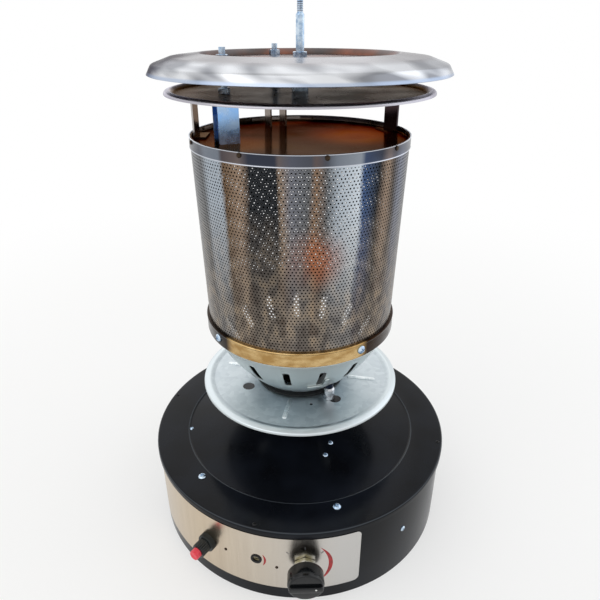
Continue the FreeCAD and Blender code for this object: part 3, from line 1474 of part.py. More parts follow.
def top_plates():
    rim_foot = "(flange_radius - flange_rim_width)"
    rim_crest = "(flange_radius - flange_rim_width / 2)"
    flange = spun("lower_flange", [
        ("stud_radius + slip", FLANGE_FLOOR),
        (rim_foot, FLANGE_FLOOR),
        (rim_crest, f"{FLANGE_FLOOR} + flange_rim_rise", "flange_rim_width / 4"),
        ("flange_radius - flange_sheet", FLANGE_FLOOR),
        ("flange_radius", FLANGE_FLOOR),
        (rim_crest, "flange_top + flange_rim_rise", "flange_rim_width / 4 + flange_sheet"),
        (rim_foot, "flange_top"),
        ("stud_radius + slip", "flange_top"),
    ])
    pan = spun("top_pan", [
        ("stud_radius + slip", PAN_UNDER),
        ("pan_rim_radius - pan_rim_step", PAN_UNDER, "pan_floor_bend"),
        ("pan_rim_radius", "pan_rim_height - pan_sheet", "pan_floor_bend"),
        ("pan_shoulder_radius", "pan_shoulder_height - pan_sheet", "pan_shoulder_round"),
        ("pan_side_radius - pan_sheet / 2", "pan_side_height - pan_sheet", "pan_side_round"),
        ("pan_radius - pan_sheet", "pan_lip_height"),
        ("pan_radius", "pan_lip_height"),
        ("pan_side_radius", "pan_side_height", "pan_side_round + pan_sheet"),
        ("pan_shoulder_radius", "pan_shoulder_height", "pan_shoulder_round + pan_sheet"),
        ("pan_rim_radius", "pan_rim_height", "pan_floor_bend + pan_sheet"),
        ("pan_rim_radius - pan_rim_step - pan_sheet / 2", "pan_floor", "pan_floor_bend"),
        ("stud_radius + slip", "pan_floor"),
    ])
    for azimuth in HANGERS:
        drill_down(flange, "hanger_bolt_radius + screw_hole_gap", "hanger_radius", azimuth,
                   f"{FLANGE_FLOOR} - steel", "flange_top + steel")
        drill_down(pan, "hanger_bolt_radius + screw_hole_gap", "hanger_radius", azimuth,
                   f"{PAN_UNDER} - steel", "pan_floor + steel")
    spun("pan_spacer", [
        ("stud_radius + slip", "flange_top"),
        ("spacer_radius", "flange_top"),
        ("spacer_radius", PAN_UNDER),
        ("stud_radius + slip", PAN_UNDER),
    ])


def reflector_stud():
    spun("reflector_stud", [
        (0, f"{FLANGE_FLOOR} - stud_tail"),
        ("stud_radius", f"{FLANGE_FLOOR} - stud_tail"),
        ("stud_radius", "stud_shoulder"),
        ("stud_tip_radius", "stud_shoulder"),
        ("stud_tip_radius", "stud_shoulder + stud_tip_length"),
        (0, "stud_shoulder + stud_tip_length"),
    ])
    nuts = new_body("stud_nuts")
    for height in ("pan_floor", f"{FLANGE_FLOOR} - stud_nut_height"):
        sketch = level_sketch(nuts, height)
        hexagon(sketch, "stud_nut_flats")
        disc(sketch, "stud_radius + running_gap")
        pad(nuts, sketch, "stud_nut_height")


def hanger_bolts():
    """Bolts from the hangers up through both top plates, with three nuts each."""
    web = f"({FLANGE_FLOOR} - hanger_sheet)"
    end = "pan_floor + hanger_nut_height + hanger_bolt_end"
    bolts = new_body("hanger_bolts")
    nuts = new_body("hanger_nuts")
    for azimuth in HANGERS:
        sketch = level_sketch(bolts, f"{web} - hanger_bolt_head", "hanger_radius", azimuth)
        hexagon(sketch, "hanger_bolt_flats")
        pad(bolts, sketch, "hanger_bolt_head")
        sketch = level_sketch(bolts, web, "hanger_radius", azimuth)
        disc(sketch, "hanger_bolt_radius")
        pad(bolts, sketch, f"{end} - {web}")
        for height in ("flange_top", f"{PAN_UNDER} - hanger_nut_height", "pan_floor"):
            sketch = level_sketch(nuts, height, "hanger_radius", azimuth)
            hexagon(sketch, "hanger_bolt_flats")
            disc(sketch, "hanger_bolt_radius + running_gap")
            pad(nuts, sketch, "hanger_nut_height")


# Places that several pieces share
COVER_SCREWS = ("cover_screw_azimuth_a", "cover_screw_azimuth_b", "cover_screw_azimuth_a + 180",
                "cover_screw_azimuth_b + 180")
RIVETS = (("rivet_azimuth_a", "controls_height + rivet_rise_a"),
          ("rivet_azimuth_b", "controls_height + rivet_rise_b"))
TILT_SCREWS = (("tilt_screw_radius_a", "tilt_screw_azimuth_a"),
               ("tilt_screw_radius_b", "tilt_screw_azimuth_b"))
HANGERS = ("hanger_azimuth_a", "hanger_azimuth_b")
DISC_HOLES = (("port_at", "port_azimuth", "port_radius"),
              ("small_hole_at", "small_hole_azimuth", "small_hole"),
              ("port_at", "left_port_azimuth", "port_radius"),
              ("pilot_at", "pilot_azimuth", "pilot_tube_radius + rod_gap"))


def export_pieces():
    """Check every object, then write each piece under its own name."""
    for item in doc.Objects:
        if "Invalid" in item.State or "Error" in item.State:
            raise RuntimeError(f"{item.Label} failed: {item.State}")
    for piece in pieces:
        if piece.Shape.isNull() or not piece.Shape.isValid():
            raise RuntimeError(f"{piece.Label} has no valid shape")
    os.makedirs("parts", exist_ok=True)
    for piece in pieces:
        piece.Shape.exportStep(f"parts/{piece.Label}.step")


housing_wall()
top_cover()
base_pan()
base_brackets()
upright_screws("cover_screws", [("cover_screw_radius", azimuth) for azimuth in COVER_SCREWS],
               COVER_TOP, "screw_head", "screw_head_height", "screw_shank", "cover_screw_length")
upright_screws("rim_screws", [(RIM_SCREW_RADIUS, f"rim_screw_azimuth + {turn}")
                              for turn in (0, 90, 180, 270)],
               COVER_TOP, "rim_screw_head", "rim_screw_head_height", "rim_screw_shank", "rim_screw_length")
wall_screws()
control_panel()
panel_rivets()
gas_valve()
gas_knob()
valve_stem()
igniter()
pilot_adjuster()
tilt_switch()
gas_way()
mixing_tube()
heat_disc()
burner_bowl()
pilot_strip()
bowl_gasket()
foot_bolts()
burner_head()
pilot()
spark_and_thermocouple()
emitter()
side_posts()
hanger_brackets()
top_plates()
reflector_stud()
hanger_bolts()
doc.recompute()
export_pieces()
print(len(pieces), "pieces")
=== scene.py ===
# %% [markdown]
# # Gas patio heater
# The head of a garden heater: a black enamelled control housing, a galvanised disc, a slotted bowl,
# a perforated emitter that glows when lit, and two pressed plates under the stud of a reflector.
# The solids of the CAD model are a fixed frame. Sheet metal and controls that the eye rests on are
# modelled again here in finer meshes, and every surface gets a finish made of shader nodes.

# %% Load the frame
import bpy
import json
import math
from mathutils import Matrix, Vector


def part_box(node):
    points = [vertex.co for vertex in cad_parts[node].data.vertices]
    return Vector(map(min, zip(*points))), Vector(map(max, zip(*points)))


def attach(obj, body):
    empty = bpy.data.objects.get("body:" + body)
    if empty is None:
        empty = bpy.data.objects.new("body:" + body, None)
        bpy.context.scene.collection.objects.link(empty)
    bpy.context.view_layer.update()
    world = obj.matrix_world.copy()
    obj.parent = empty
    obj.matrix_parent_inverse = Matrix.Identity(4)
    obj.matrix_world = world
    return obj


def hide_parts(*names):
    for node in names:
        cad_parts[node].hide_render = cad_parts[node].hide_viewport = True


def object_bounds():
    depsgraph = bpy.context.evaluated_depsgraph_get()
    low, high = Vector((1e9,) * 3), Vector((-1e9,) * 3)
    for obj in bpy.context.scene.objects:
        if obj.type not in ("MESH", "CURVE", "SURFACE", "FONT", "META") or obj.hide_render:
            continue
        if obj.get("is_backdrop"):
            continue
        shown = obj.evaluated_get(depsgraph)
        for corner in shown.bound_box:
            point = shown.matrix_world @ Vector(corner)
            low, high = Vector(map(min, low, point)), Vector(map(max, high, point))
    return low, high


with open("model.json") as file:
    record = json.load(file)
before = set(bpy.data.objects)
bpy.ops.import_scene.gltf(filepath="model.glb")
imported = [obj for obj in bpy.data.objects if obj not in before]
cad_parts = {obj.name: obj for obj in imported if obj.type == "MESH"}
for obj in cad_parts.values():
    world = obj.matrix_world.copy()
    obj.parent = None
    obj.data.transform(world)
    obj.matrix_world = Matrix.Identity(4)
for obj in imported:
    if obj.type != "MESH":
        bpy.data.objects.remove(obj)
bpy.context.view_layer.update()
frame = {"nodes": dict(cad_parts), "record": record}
nodes = frame["nodes"]
scene = bpy.context.scene
bpy.ops.object.select_all(action="DESELECT")
MM = 0.001
print("the frame holds", len(nodes), "nodes")

# %% [markdown]
# ## Camera
# The photograph's viewpoint was worked out from the ellipses of the round parts. The camera stands
# half a metre in front of the axis, near the height of the top plate, and looks down. The picture
# is square, so the focal length alone sets how much it takes in.

# %% Camera
CAMERA_DISTANCE = 551.64
CAMERA_HEIGHT = 558.26
CAMERA_DOWN = 27.18
FOCAL_LENGTH = 32.24
SENSOR = 36
camera_data = bpy.data.cameras.new("photo_camera")
camera_data.lens = FOCAL_LENGTH
camera_data.sensor_width = SENSOR
camera_data.clip_start = 0.01
camera = bpy.data.objects.new("photo_camera", camera_data)
camera.location = (0, -CAMERA_DISTANCE * MM, CAMERA_HEIGHT * MM)
camera.rotation_euler = (math.radians(90 - CAMERA_DOWN), 0, 0)
scene.collection.objects.link(camera)
scene.camera = camera
scene.view_settings.view_transform = "Standard"
print("camera looks down by", CAMERA_DOWN, "degrees")

# %% [markdown]
# ## Colours and shader nodes
# Colours are written as the sRGB hex values of a paint chart, while Blender works in linear light,
# so one function converts them. Another adds a shader node with its settings and its links, which
# keeps each finish short enough to read at a glance.

# %% Colour and node helpers
def srgb(hex_colour):
    """Linear colour of an sRGB hex value such as 'd43a2a'."""
    levels = [int(hex_colour[at:at + 2], 16) / 255 for at in (0, 2, 4)]
    linear = [v / 12.92 if v <= 0.04045 else ((v + 0.055) / 1.055) ** 2.4 for v in levels]
    return (*linear, 1)


def feed(tree, socket, value):
    """Gives an input a number, a hex colour or the output of another node."""
    if isinstance(value, bpy.types.NodeSocket):
        tree.links.new(value, socket)
    else:
        socket.default_value = srgb(value) if isinstance(value, str) else value


def add_node(tree, kind, inputs=None, stops=None, **settings):
    """Adds a shader node and returns its first output. Stops are the places and colours of a ramp."""
    made = tree.nodes.new("ShaderNode" + kind)
    for name, value in settings.items():
        setattr(made, name, value)
    for name, value in (inputs or {}).items():
        feed(tree, made.inputs[name], value)
    if stops:
        elements = made.color_ramp.elements
        while len(elements) < len(stops):
            elements.new(1)
        for element, (at, colour) in zip(elements, stops):
            element.position = at
            element.color = srgb(colour)
    return next(out for out in made.outputs if out.enabled)


def new_finish(name, colour, metallic, roughness):
    """Material with one principled shader. Returns it with its tree, its shader and the place on it."""
    material = bpy.data.materials.new(name)
    material.use_nodes = True
    tree = material.node_tree
    shader = tree.nodes["Principled BSDF"]
    shader.inputs["Base Color"].default_value = srgb(colour)
    shader.inputs["Metallic"].default_value = metallic
    shader.inputs["Roughness"].default_value = roughness
    place = tree.nodes.new("ShaderNodeTexCoord").outputs["Object"]
    return material, tree, shader, place


finish = {}

# %% [markdown]
# ## Grain, gloss and relief
# On real sheet metal and plastic the lighter spots are also the glossier or duller ones. So one noise
# of a real size drives tone and gloss together, and a finish never looks like a flat colour.

# %% Grain helpers
def grid(tree, place, across, up=None):
    """The place, scaled so that one unit of a pattern is this many millimetres across and upright."""
    scale = (1 / (across * MM), 1 / (across * MM), 1 / ((up or across) * MM))
    return add_node(tree, "Mapping", {"Vector": place, "Scale": scale})


def grain(tree, place, across, up=None, detail=3):
    """Noise of a size in millimetres."""
    return add_node(tree, "TexNoise", {"Vector": grid(tree, place, across, up), "Scale": 1,
                                       "Detail": detail})


def stand_out(tree, shader, height, depth, strength=1):
    """Lets a pattern of heights stand out of the surface, by a depth in millimetres."""
    normal = add_node(tree, "Bump", {"Height": height, "Strength": strength, "Distance": depth * MM})
    feed(tree, shader.inputs["Normal"], normal)


def gloss_by(tree, shader, pattern, gloss):
    """Lets a pattern set the roughness."""
    rough = add_node(tree, "MapRange", {"Value": pattern, "From Min": 0.3, "From Max": 0.7,
                                        "To Min": gloss[0], "To Max": gloss[1]})
    feed(tree, shader.inputs["Roughness"], rough)


def vary(tree, shader, pattern, tones, gloss):
    """Lets one pattern set the tone, from dark to light, and the roughness."""
    paint = add_node(tree, "ValToRGB", {"Fac": pattern}, [(0.35, tones[0]), (0.65, tones[1])])
    feed(tree, shader.inputs["Base Color"], paint)
    gloss_by(tree, shader, pattern, gloss)
    return paint


# %% [markdown]
# ## Where on the heater
# Heat, soot and wear follow the shape, and so do the painted highlights, shade and reflections
# below: they change with the height, with the distance from the axis and with the direction. Each of
# these gives a share from 0 to 1, and a share mixes two tones.

# %% Share helpers
def coordinate(tree, place, axis):
    """One coordinate of the place."""
    return add_node(tree, "SeparateXYZ", {0: place}).node.outputs[axis]


def azimuth_of(tree, place):
    """Azimuth of a point round the heater's axis as a share of the circle: 0.5 is the front."""
    forward = add_node(tree, "Math", {0: coordinate(tree, place, "Y"), 1: -1}, operation="MULTIPLY")
    angle = add_node(tree, "Math", {0: coordinate(tree, place, "X"), 1: forward}, operation="ARCTAN2")
    return add_node(tree, "Math", {0: angle, 1: 1 / (2 * math.pi), 2: 0.5}, operation="MULTIPLY_ADD")


def height_share(tree, place, low, high, least=0, most=1):
    """Share that runs from least at one height in millimetres to most at another."""
    return add_node(tree, "MapRange", {"Value": coordinate(tree, place, "Z"), "From Min": low * MM,
                                       "From Max": high * MM, "To Min": least, "To Max": most})


def flattened(tree, place):
    """The place without its height."""
    return add_node(tree, "VectorMath", {0: place, 1: (1, 1, 0)}, operation="MULTIPLY")


def radius_of(tree, place):
    """Distance from the upright axis."""
    length = add_node(tree, "VectorMath", {0: flattened(tree, place)}, operation="LENGTH")
    return length.node.outputs["Value"]


def radius_share(tree, place, low, high, most=1):
    """Share that is 0 at one distance from the axis in millimetres and most at another."""
    return add_node(tree, "MapRange", {"Value": radius_of(tree, place), "From Min": low * MM,
                                       "From Max": high * MM, "To Max": most})


def near(tree, place, spot, outer, inner, most):
    """Share that rises towards a spot, from an outer to an inner distance in millimetres."""
    away = add_node(tree, "VectorMath", {0: place, 1: [v * MM for v in spot]}, operation="DISTANCE")
    return add_node(tree, "MapRange", {"Value": away.node.outputs["Value"], "From Min": outer * MM,
                                       "From Max": inner * MM, "To Max": most},
                    interpolation_type="SMOOTHSTEP")


def overlap(tree, first, second):
    """Share of two shares together."""
    return add_node(tree, "Math", {0: first, 1: second}, operation="MULTIPLY")


def blended(tree, share, first, second, how="MIX"):
    """Colour between two colours, each a hex value or an output."""
    mix = tree.nodes.new("ShaderNodeMix")
    mix.data_type = "RGBA"
    mix.blend_type = how
    for at, value in ((0, share), (6, first), (7, second)):
        feed(tree, mix.inputs[at], value)
    return mix.outputs[2]


# %% [markdown]
# ## Black stove enamel
# The housing is mild steel sheet, sprayed and baked. Stove enamel is nearly a mirror, but spraying
# leaves a faint orange peel some two millimetres from crest to crest, and handling leaves dull
# patches a few centimetres wide. Along the cover's step and its rim a thin grey line is painted in,
# a painted highlight where the edges catch the light.

# %% Black stove enamel
ORANGE_PEEL = 2.2
PEEL_DEPTH = 0.05
HANDLING_PATCH = 55
PAINTED_EDGE_HIGHLIGHTS = ((140.6, 141.6, 142.6, 102), (178.6, 179.4, 181, 102.4))
enamel, tree, shader, place = new_finish("black_stove_enamel", "0c0f11", 0, 0.2)
shader.inputs["Specular IOR Level"].default_value = 0.14
patches = grain(tree, place, HANDLING_PATCH)
paint = add_node(tree, "ValToRGB", {"Fac": patches}, [(0.35, "0a0c10"), (0.75, "141820")])
gloss_by(tree, shader, patches, (0.14, 0.26))
# Painted highlights: thin grey lines along the cover's step and along its rim.
for inner, crest, outer, foot in PAINTED_EDGE_HIGHLIGHTS:
    line = overlap(tree, radius_share(tree, place, inner, crest, 0.8),
                   radius_share(tree, place, outer, crest))
    line = overlap(tree, line, height_share(tree, place, foot, foot + 0.8))
    paint = blended(tree, line, paint, "4b5157")
feed(tree, shader.inputs["Base Color"], paint)
stand_out(tree, shader, grain(tree, place, ORANGE_PEEL, detail=2), PEEL_DEPTH, 0.12)
finish["black_paint"] = enamel

# %% [markdown]
# ## Galvanised sheet
# Hot-dip zinc freezes in flat crystals, the spangle, a few millimetres across. Each is a little
# lighter or darker than its neighbours and shines in its own way, so the random value of a Voronoi
# cell drives both the tone and the roughness. The disc's rolled rim and the bowl are painted paler
# than the flat, a painted highlight. Inside the bowl, the faces whose normal points to the axis are
# made near black.

# %% Galvanised sheet
SPANGLE = 6
galvanised, tree, shader, place = new_finish("galvanised_sheet", "9aa4a8", 1, 0.34)
cell = add_node(tree, "TexVoronoi", {"Vector": grid(tree, place, SPANGLE), "Scale": 1}).node
chance = add_node(tree, "SeparateColor", {0: cell.outputs["Color"]})
zinc = add_node(tree, "ValToRGB", {"Fac": chance}, [(0, "b5bec3"), (1, "c6ced2")])
dull = add_node(tree, "MapRange", {"Value": chance, "To Min": 0.33, "To Max": 0.4})
feed(tree, shader.inputs["Roughness"], dull)
# Painted highlight: the disc's rolled rim and the bowl above the disc are painted paler.
pale = blended(tree, radius_share(tree, place, 106.5, 110, 0.85), zinc, "d6dee1")
pale = blended(tree, height_share(tree, place, 180, 206), pale, "dce3e3")
# The faces turned to the axis inside the bowl are made near black.
outwards = add_node(tree, "VectorMath", {0: flattened(tree, place)}, operation="NORMALIZE")
turned_out = add_node(tree, "VectorMath", {0: outwards, 1: place.node.outputs["Normal"]},
                      operation="DOT_PRODUCT").node.outputs["Value"]
inwards = add_node(tree, "Math", {0: turned_out, 1: -0.2}, operation="LESS_THAN")
dark_inside = overlap(tree, inwards, height_share(tree, place, 182, 184))
feed(tree, shader.inputs["Base Color"], blended(tree, dark_inside, pale, "1b1918"))
finish["galvanised_steel"] = galvanised

# %% [markdown]
# ## Brushed stainless panel
# The control panel is stainless sheet, brushed upright with a fine belt and bent round the housing.
# The lines are too thin to see one by one, but they stretch every reflection along the brushing. The
# shader's anisotropy does that, with an upright tangent, and a noise pulled out along the height
# gives the faint streaks. Drawn at half a millimetre, the lines are coarser than the belt's grit.
# The panel is painted beige on the left and paler grey on the right, a painted reflection of the room.

# %% Brushed stainless panel
BRUSH_LINE = 0.5
BRUSH_LENGTH = 40
WIDE_STREAK = 9
STREAK_LENGTH = 300
LINE_DEPTH = 0.01
brushed, tree, shader, place = new_finish("brushed_stainless", "cfc0ab", 1, 0.2)
lines = grain(tree, place, BRUSH_LINE, BRUSH_LENGTH, 2)
streaks = grain(tree, place, WIDE_STREAK, STREAK_LENGTH, 2)
both = add_node(tree, "Math", {0: lines, 1: streaks}, operation="ADD")
level = add_node(tree, "Math", {0: both, 1: 0.5}, operation="MULTIPLY")
# Painted reflection: the panel's beige tone turns paler grey towards the right.
paint = vary(tree, shader, level, ("c6b49c", "d6c6ae"), (0.19, 0.28))
painted_reflection_shift = add_node(tree, "MapRange", {"Value": azimuth_of(tree, place), "From Min": 0.4, "From Max": 0.54})
feed(tree, shader.inputs["Base Color"], blended(tree, painted_reflection_shift, paint, "c9c7c4"))
shader.inputs["Anisotropic"].default_value = 0.75
upright_lines = add_node(tree, "Tangent", direction_type="RADIAL", axis="Z")
feed(tree, shader.inputs["Tangent"], upright_lines)
stand_out(tree, shader, lines, LINE_DEPTH, 0.3)
finish["panel_steel"] = brushed

# %% [markdown]
# ## Emitter steel with heat tints
# The emitter is heat resistant stainless sheet that has been red hot many times. It keeps grey scale
# and oxide films of straw, brown and blue, in bands that run up the sheet, and among them silver,
# bright and dark bands are painted in as reflections of the room. A ramp round the axis places the
# bands, a noise makes them uneven, and towards the foot they fade into a mottled brown grey. One
# rusty patch sits where a flame licks. The inside is made near black. The band round the top is a
# darker blue grey, with painted highlights along its edges.

# %% Emitter steel
NEAR_BLACK_INSIDE = "141211"
SCALE_GREY = "5f6163"
DARK_SCALE_AND_REFLECTION = "2b2d30"
STRAW = "947f6d"
BROWN = "66523f"
SILVER_REFLECTION = "a3acb5"
BRIGHT_REFLECTION = "ccd5dd"
BLUE = "44597e"
# Heat tints of straw, brown and blue, mixed with silver, bright and dark bands painted in as reflections
# of the room.
TINT_AND_REFLECTION_BANDS = ((-180, SCALE_GREY), (-140, SILVER_REFLECTION), (-110, DARK_SCALE_AND_REFLECTION), (-90, "55585a"),
              (-56, SCALE_GREY), (-51, SILVER_REFLECTION), (-41, SILVER_REFLECTION), (-38, BROWN), (-29, STRAW),
              (-24, DARK_SCALE_AND_REFLECTION), (-11, DARK_SCALE_AND_REFLECTION), (-9, "8d7a68"), (-4, "70727a"), (4, SCALE_GREY),
              (7, "836b57"), (12, SCALE_GREY), (17, SILVER_REFLECTION), (28, BRIGHT_REFLECTION), (31, BLUE), (37, "3a4558"),
              (41, DARK_SCALE_AND_REFLECTION), (47, STRAW), (52, "4a423c"), (58, "6b7182"), (75, "3c3a36"),
              (100, DARK_SCALE_AND_REFLECTION), (135, "8d8078"), (160, DARK_SCALE_AND_REFLECTION), (180, SCALE_GREY))
MOTTLED = ((0.3, "574e47"), (0.45, "6f675f"), (0.55, "857a6e"), (0.7, "9d8c78"))
RUST_SPOT = (14, -105, 368)
BAND_EDGE_HIGHLIGHTS = ((453.6, 453.0), (462.3, 462.8))
emitter, tree, shader, place = new_finish("heat_tint_and_reflection_stainless", SCALE_GREY, 1, 0.3)
uneven = grain(tree, place, 22, 90)
shifted = add_node(tree, "Math", {0: uneven, 1: 0.02, 2: azimuth_of(tree, place)},
                   operation="MULTIPLY_ADD")
centred = add_node(tree, "Math", {0: shifted, 1: 0.01}, operation="SUBTRACT")
bands = add_node(tree, "ValToRGB", {"Fac": centred},
                 [(azimuth / 360 + 0.5, tint) for azimuth, tint in TINT_AND_REFLECTION_BANDS])
mottle = add_node(tree, "ValToRGB", {"Fac": grain(tree, place, 9, 14)}, MOTTLED)
tone = blended(tree, height_share(tree, place, 415, 305, most=0.86), bands, mottle)
patchy = add_node(tree, "MapRange", {"Value": uneven, "From Min": 0.35, "From Max": 0.6})
rust = overlap(tree, near(tree, place, RUST_SPOT, 36, 6, 0.7), patchy)
tone = blended(tree, rust, tone, "a5623f")
tone = blended(tree, height_share(tree, place, 452.2, 452.6, most=0.62), tone, "3c4150")
# Painted highlights: pale lines along the lower and upper edges of the top band.
for low, high in BAND_EDGE_HIGHLIGHTS:
    lip = overlap(tree, height_share(tree, place, low, high), height_share(tree, place, 452.0, 452.4))
    tone = blended(tree, lip, tone, "c9cdd6")
# The inner face of the sheet, inside the cone, is made near black.
sheet_middle = height_share(tree, place, 253.7, 462.9, 102.75 * MM, 108.05 * MM)
outside = add_node(tree, "Math", {0: radius_of(tree, place), 1: sheet_middle}, operation="GREATER_THAN")
feed(tree, shader.inputs["Base Color"], blended(tree, outside, NEAR_BLACK_INSIDE, tone))
dull = add_node(tree, "MapRange", {"Value": outside, "To Min": 0.75, "To Max": 0.27})
feed(tree, shader.inputs["Roughness"], dull)
finish["emitter_steel"] = emitter

# %% [markdown]
# ## Straw tinted ring
# The ring at the emitter's foot is the same steel, only warmed, with a thin straw oxide film. It is
# painted golden in front and dark brown at the sides and the back, a painted reflection of the room.

# %% Straw tinted ring
straw, tree, shader, place = new_finish("straw_tint_and_reflection_stainless", "c99a5b", 1, 0.22)
gold = vary(tree, shader, grain(tree, place, 14, 7), ("a98652", "d2b480"), (0.16, 0.32))
# Painted reflection of the room: golden in front, dark brown at the sides and the back.
painted_ring_reflection = add_node(tree, "ValToRGB", {"Fac": azimuth_of(tree, place)},
                     [(0, "3a2a1a"), (0.372, "2a1f14"), (0.386, "ffffff"), (0.6, "ffffff"),
                      (0.612, "3a2b1e"), (1, "3a2a1a")])
feed(tree, shader.inputs["Base Color"], blended(tree, 1, gold, painted_ring_reflection, "MULTIPLY"))
finish["tinted_ring_steel"] = straw

# %% [markdown]
# ## Spun stainless plates
# The flange and the pan are stainless sheet, spun over a former and polished. Spinning leaves soft
# waves round the slope, and slanted bright and grey patches along them are painted reflections. The
# flange and the pan's floor are brown, partly heat tint and partly a painted reflection, with a painted
# lighter spot on the flange's left front and a painted highlight on its rim. The pan's left end is
# darkened by painted shade, its shoulder is painted grey brown with a painted highlight in front, and
# its lip is a painted cool blue highlight. A metal grows white at its edges; the tint for grazing light
# tones that down, and is darker at the pan's left end as part of the painted shade.

# %% Spun stainless plates
WAVE_WIDE = 38
WAVE_TALL = 8
WAVE_LEAN = 12
WAVE_DEPTH = 0.4
BROWN_STAIN = 45
FLOOR_HEAT_TINT_AND_REFLECTION = ((0.35, "3d3634"), (0.5, "5b3f33"), (0.65, "86503c"))
FLANGE_HEAT_TINT_AND_REFLECTION = ((0.35, "574b42"), (0.5, "6f6156"), (0.65, "8a7258"))
spun, tree, shader, place = new_finish("spun_stainless", "c4c4c6", 1, 0.2)
leaning = add_node(tree, "Mapping", {"Vector": place, "Rotation": (0, math.radians(-WAVE_LEAN), 0)})
waves = grain(tree, leaning, WAVE_WIDE, WAVE_TALL, 0.6)
# Painted reflections: bright and grey patches that follow the spinning waves.
tone = vary(tree, shader, waves, ("85878c", "dcdee1"), (0.2, 0.3))
# Painted shade: the pan's left end is darkened.
tone = blended(tree, near(tree, place, (-136, -30, 524), 66, 16, 0.9), tone, "4d4a52")
# Painted shade and highlight: the pan's shoulder is grey brown, lighter in front.
shoulder = blended(tree, near(tree, place, (30, -120, 532), 110, 40, 1), "6f6664", "a8a4a4")
tone = blended(tree, radius_share(tree, place, 127, 118, 0.8), tone, shoulder)
# Painted highlight: the pan's lip is a cool blue line.
tone = blended(tree, radius_share(tree, place, 140, 140.8, 0.7), tone, "a9b9d2")
# The brown of the pan's floor and of the flange is partly heat tint and partly a painted reflection.
stain = grain(tree, place, BROWN_STAIN, detail=4)
floor_brown_tone = add_node(tree, "ValToRGB", {"Fac": stain}, FLOOR_HEAT_TINT_AND_REFLECTION)
pan_tone = blended(tree, radius_share(tree, place, 97, 90, 0.9), tone, floor_brown_tone)
flange_brown_tone = add_node(tree, "ValToRGB", {"Fac": stain}, FLANGE_HEAT_TINT_AND_REFLECTION)
# Painted reflection: a lighter bronze spot on the flange's left front.
flange_brown_tone = blended(tree, near(tree, place, (-105, -50, 501), 75, 20, 0.8), flange_brown_tone, "b89a70")
# Painted highlight: the flange's rim is paler.
flange_tone = blended(tree, radius_share(tree, place, 121, 124), flange_brown_tone, "b3b1b8")
is_pan = height_share(tree, place, 507, 509)
feed(tree, shader.inputs["Base Color"], blended(tree, is_pan, flange_tone, pan_tone))
# The grazing tint is brownish on the flange's floor and pale on its rim, and darker towards the pan's
# left end as part of the painted shade.
flange_tint = blended(tree, radius_share(tree, place, 119, 123), "75634f", "e4e2ea")
pan_tint = blended(tree, near(tree, place, (-136, -20, 524), 80, 20, 0.9), "e6e7ea", "55525c")
feed(tree, shader.inputs["Specular Tint"], blended(tree, is_pan, flange_tint, pan_tint))
stand_out(tree, shader, waves, WAVE_DEPTH, 0.06)
finish["pressed_steel"] = spun

# %% [markdown]
# ## Tinted mirror sheet
# The closing plate and the posts stand in the burnt gas. Their polish is still a mirror, but brown
# patches some centimetres wide lie over it, and two spots of the plate are orange. The right post is
# painted dark and the left one beige, painted reflections of the room.

# %% Tinted mirror sheet
CLOUD = 38
mirror, tree, shader, place = new_finish("smoke_and_reflection_mirror_stainless", "8c857c", 1, 0.16)
shader.inputs["Specular Tint"].default_value = srgb("857468")
cloud = grain(tree, place, CLOUD)
gloss_by(tree, shader, cloud, (0.12, 0.26))
tone = add_node(tree, "ValToRGB", {"Fac": cloud}, [(0.35, "453d39"), (0.5, "5a4d45"), (0.65, "74604f")])
tone = blended(tree, near(tree, place, (56, 4, 458), 62, 12, 0.85), tone, "bd7a50")
tone = blended(tree, near(tree, place, (-56, -40, 458), 46, 8, 0.8), tone, "ab7a4a")
# Painted reflections: the right post dark, the left one beige.
on_right = add_node(tree, "Math", {0: azimuth_of(tree, place), 1: 0.5}, operation="GREATER_THAN")
painted_post_reflection = blended(tree, on_right, "b9b5b2", "4a4245")
feed(tree, shader.inputs["Base Color"],
     blended(tree, height_share(tree, place, 459, 461), tone, painted_post_reflection))
finish["mirror_steel"] = mirror

# %% [markdown]
# ## Plain finishes
# The other surfaces each follow one grain: a noise of a real size that moves the tone, the gloss and,
# where the surface is rough, a fine relief. Zinc plating is passivated blue, brass is tarnished, the
# casting is grainy, moulded plastic has a spark eroded skin, drawn tube has lines along its length.
# The left hanger bracket is painted sky blue, a painted reflection of a window, and the rear one is
# painted brown.

# %% Plain finishes
def grained(slot, name, tones, metallic, gloss, size, up=None, relief=0):
    """Finish whose tone, gloss and relief follow one noise of a size in millimetres."""
    made, tree, shader, place = new_finish(name, tones[0], metallic, gloss[0])
    pattern = grain(tree, place, size, up)
    vary(tree, shader, pattern, tones, gloss)
    if relief:
        stand_out(tree, shader, pattern, relief, 0.5)
    finish[slot] = made
    return shader


grained("zinc_fastener", "blue_passivated_zinc", ("8fa9c4", "cfdfed"), 1, (0.18, 0.3), 4)
# Painted highlight: paler zinc for the disc's ribs, so that their outlines show light.
grained("rib_highlight_zinc", "rib_highlight_zinc_sheet", ("d3dbde", "eef2f3"), 1, (0.25, 0.36), 5)
grained("valve_nickel", "tarnished_nickel", ("8f8a6c", "d8dcde"), 1, (0.1, 0.2), 7)
grained("pilot_nickel", "nickel_plate", ("8f9296", "d3d5d8"), 1, (0.15, 0.3), 6)
grained("ribbed_plastic", "rubbed_black_nylon", ("16191a", "2e3231"), 0, (0.35, 0.5), 2, relief=0.01)
grained("blued_steel", "blued_steel", ("12161f", "2b3345"), 1, (0.2, 0.35), 3)
grained("black_fastener", "black_oxide_steel", ("0b0b0c", "1d1d20"), 0.5, (0.3, 0.5), 1.5)
grained("rivet_aluminium", "tarnished_rivet", ("2c241d", "4a3d31"), 1, (0.3, 0.5), 1.2)
grained("valve_casting", "zinc_die_casting", ("84878a", "a6a9ab"), 1, (0.45, 0.6), 0.8, relief=0.05)
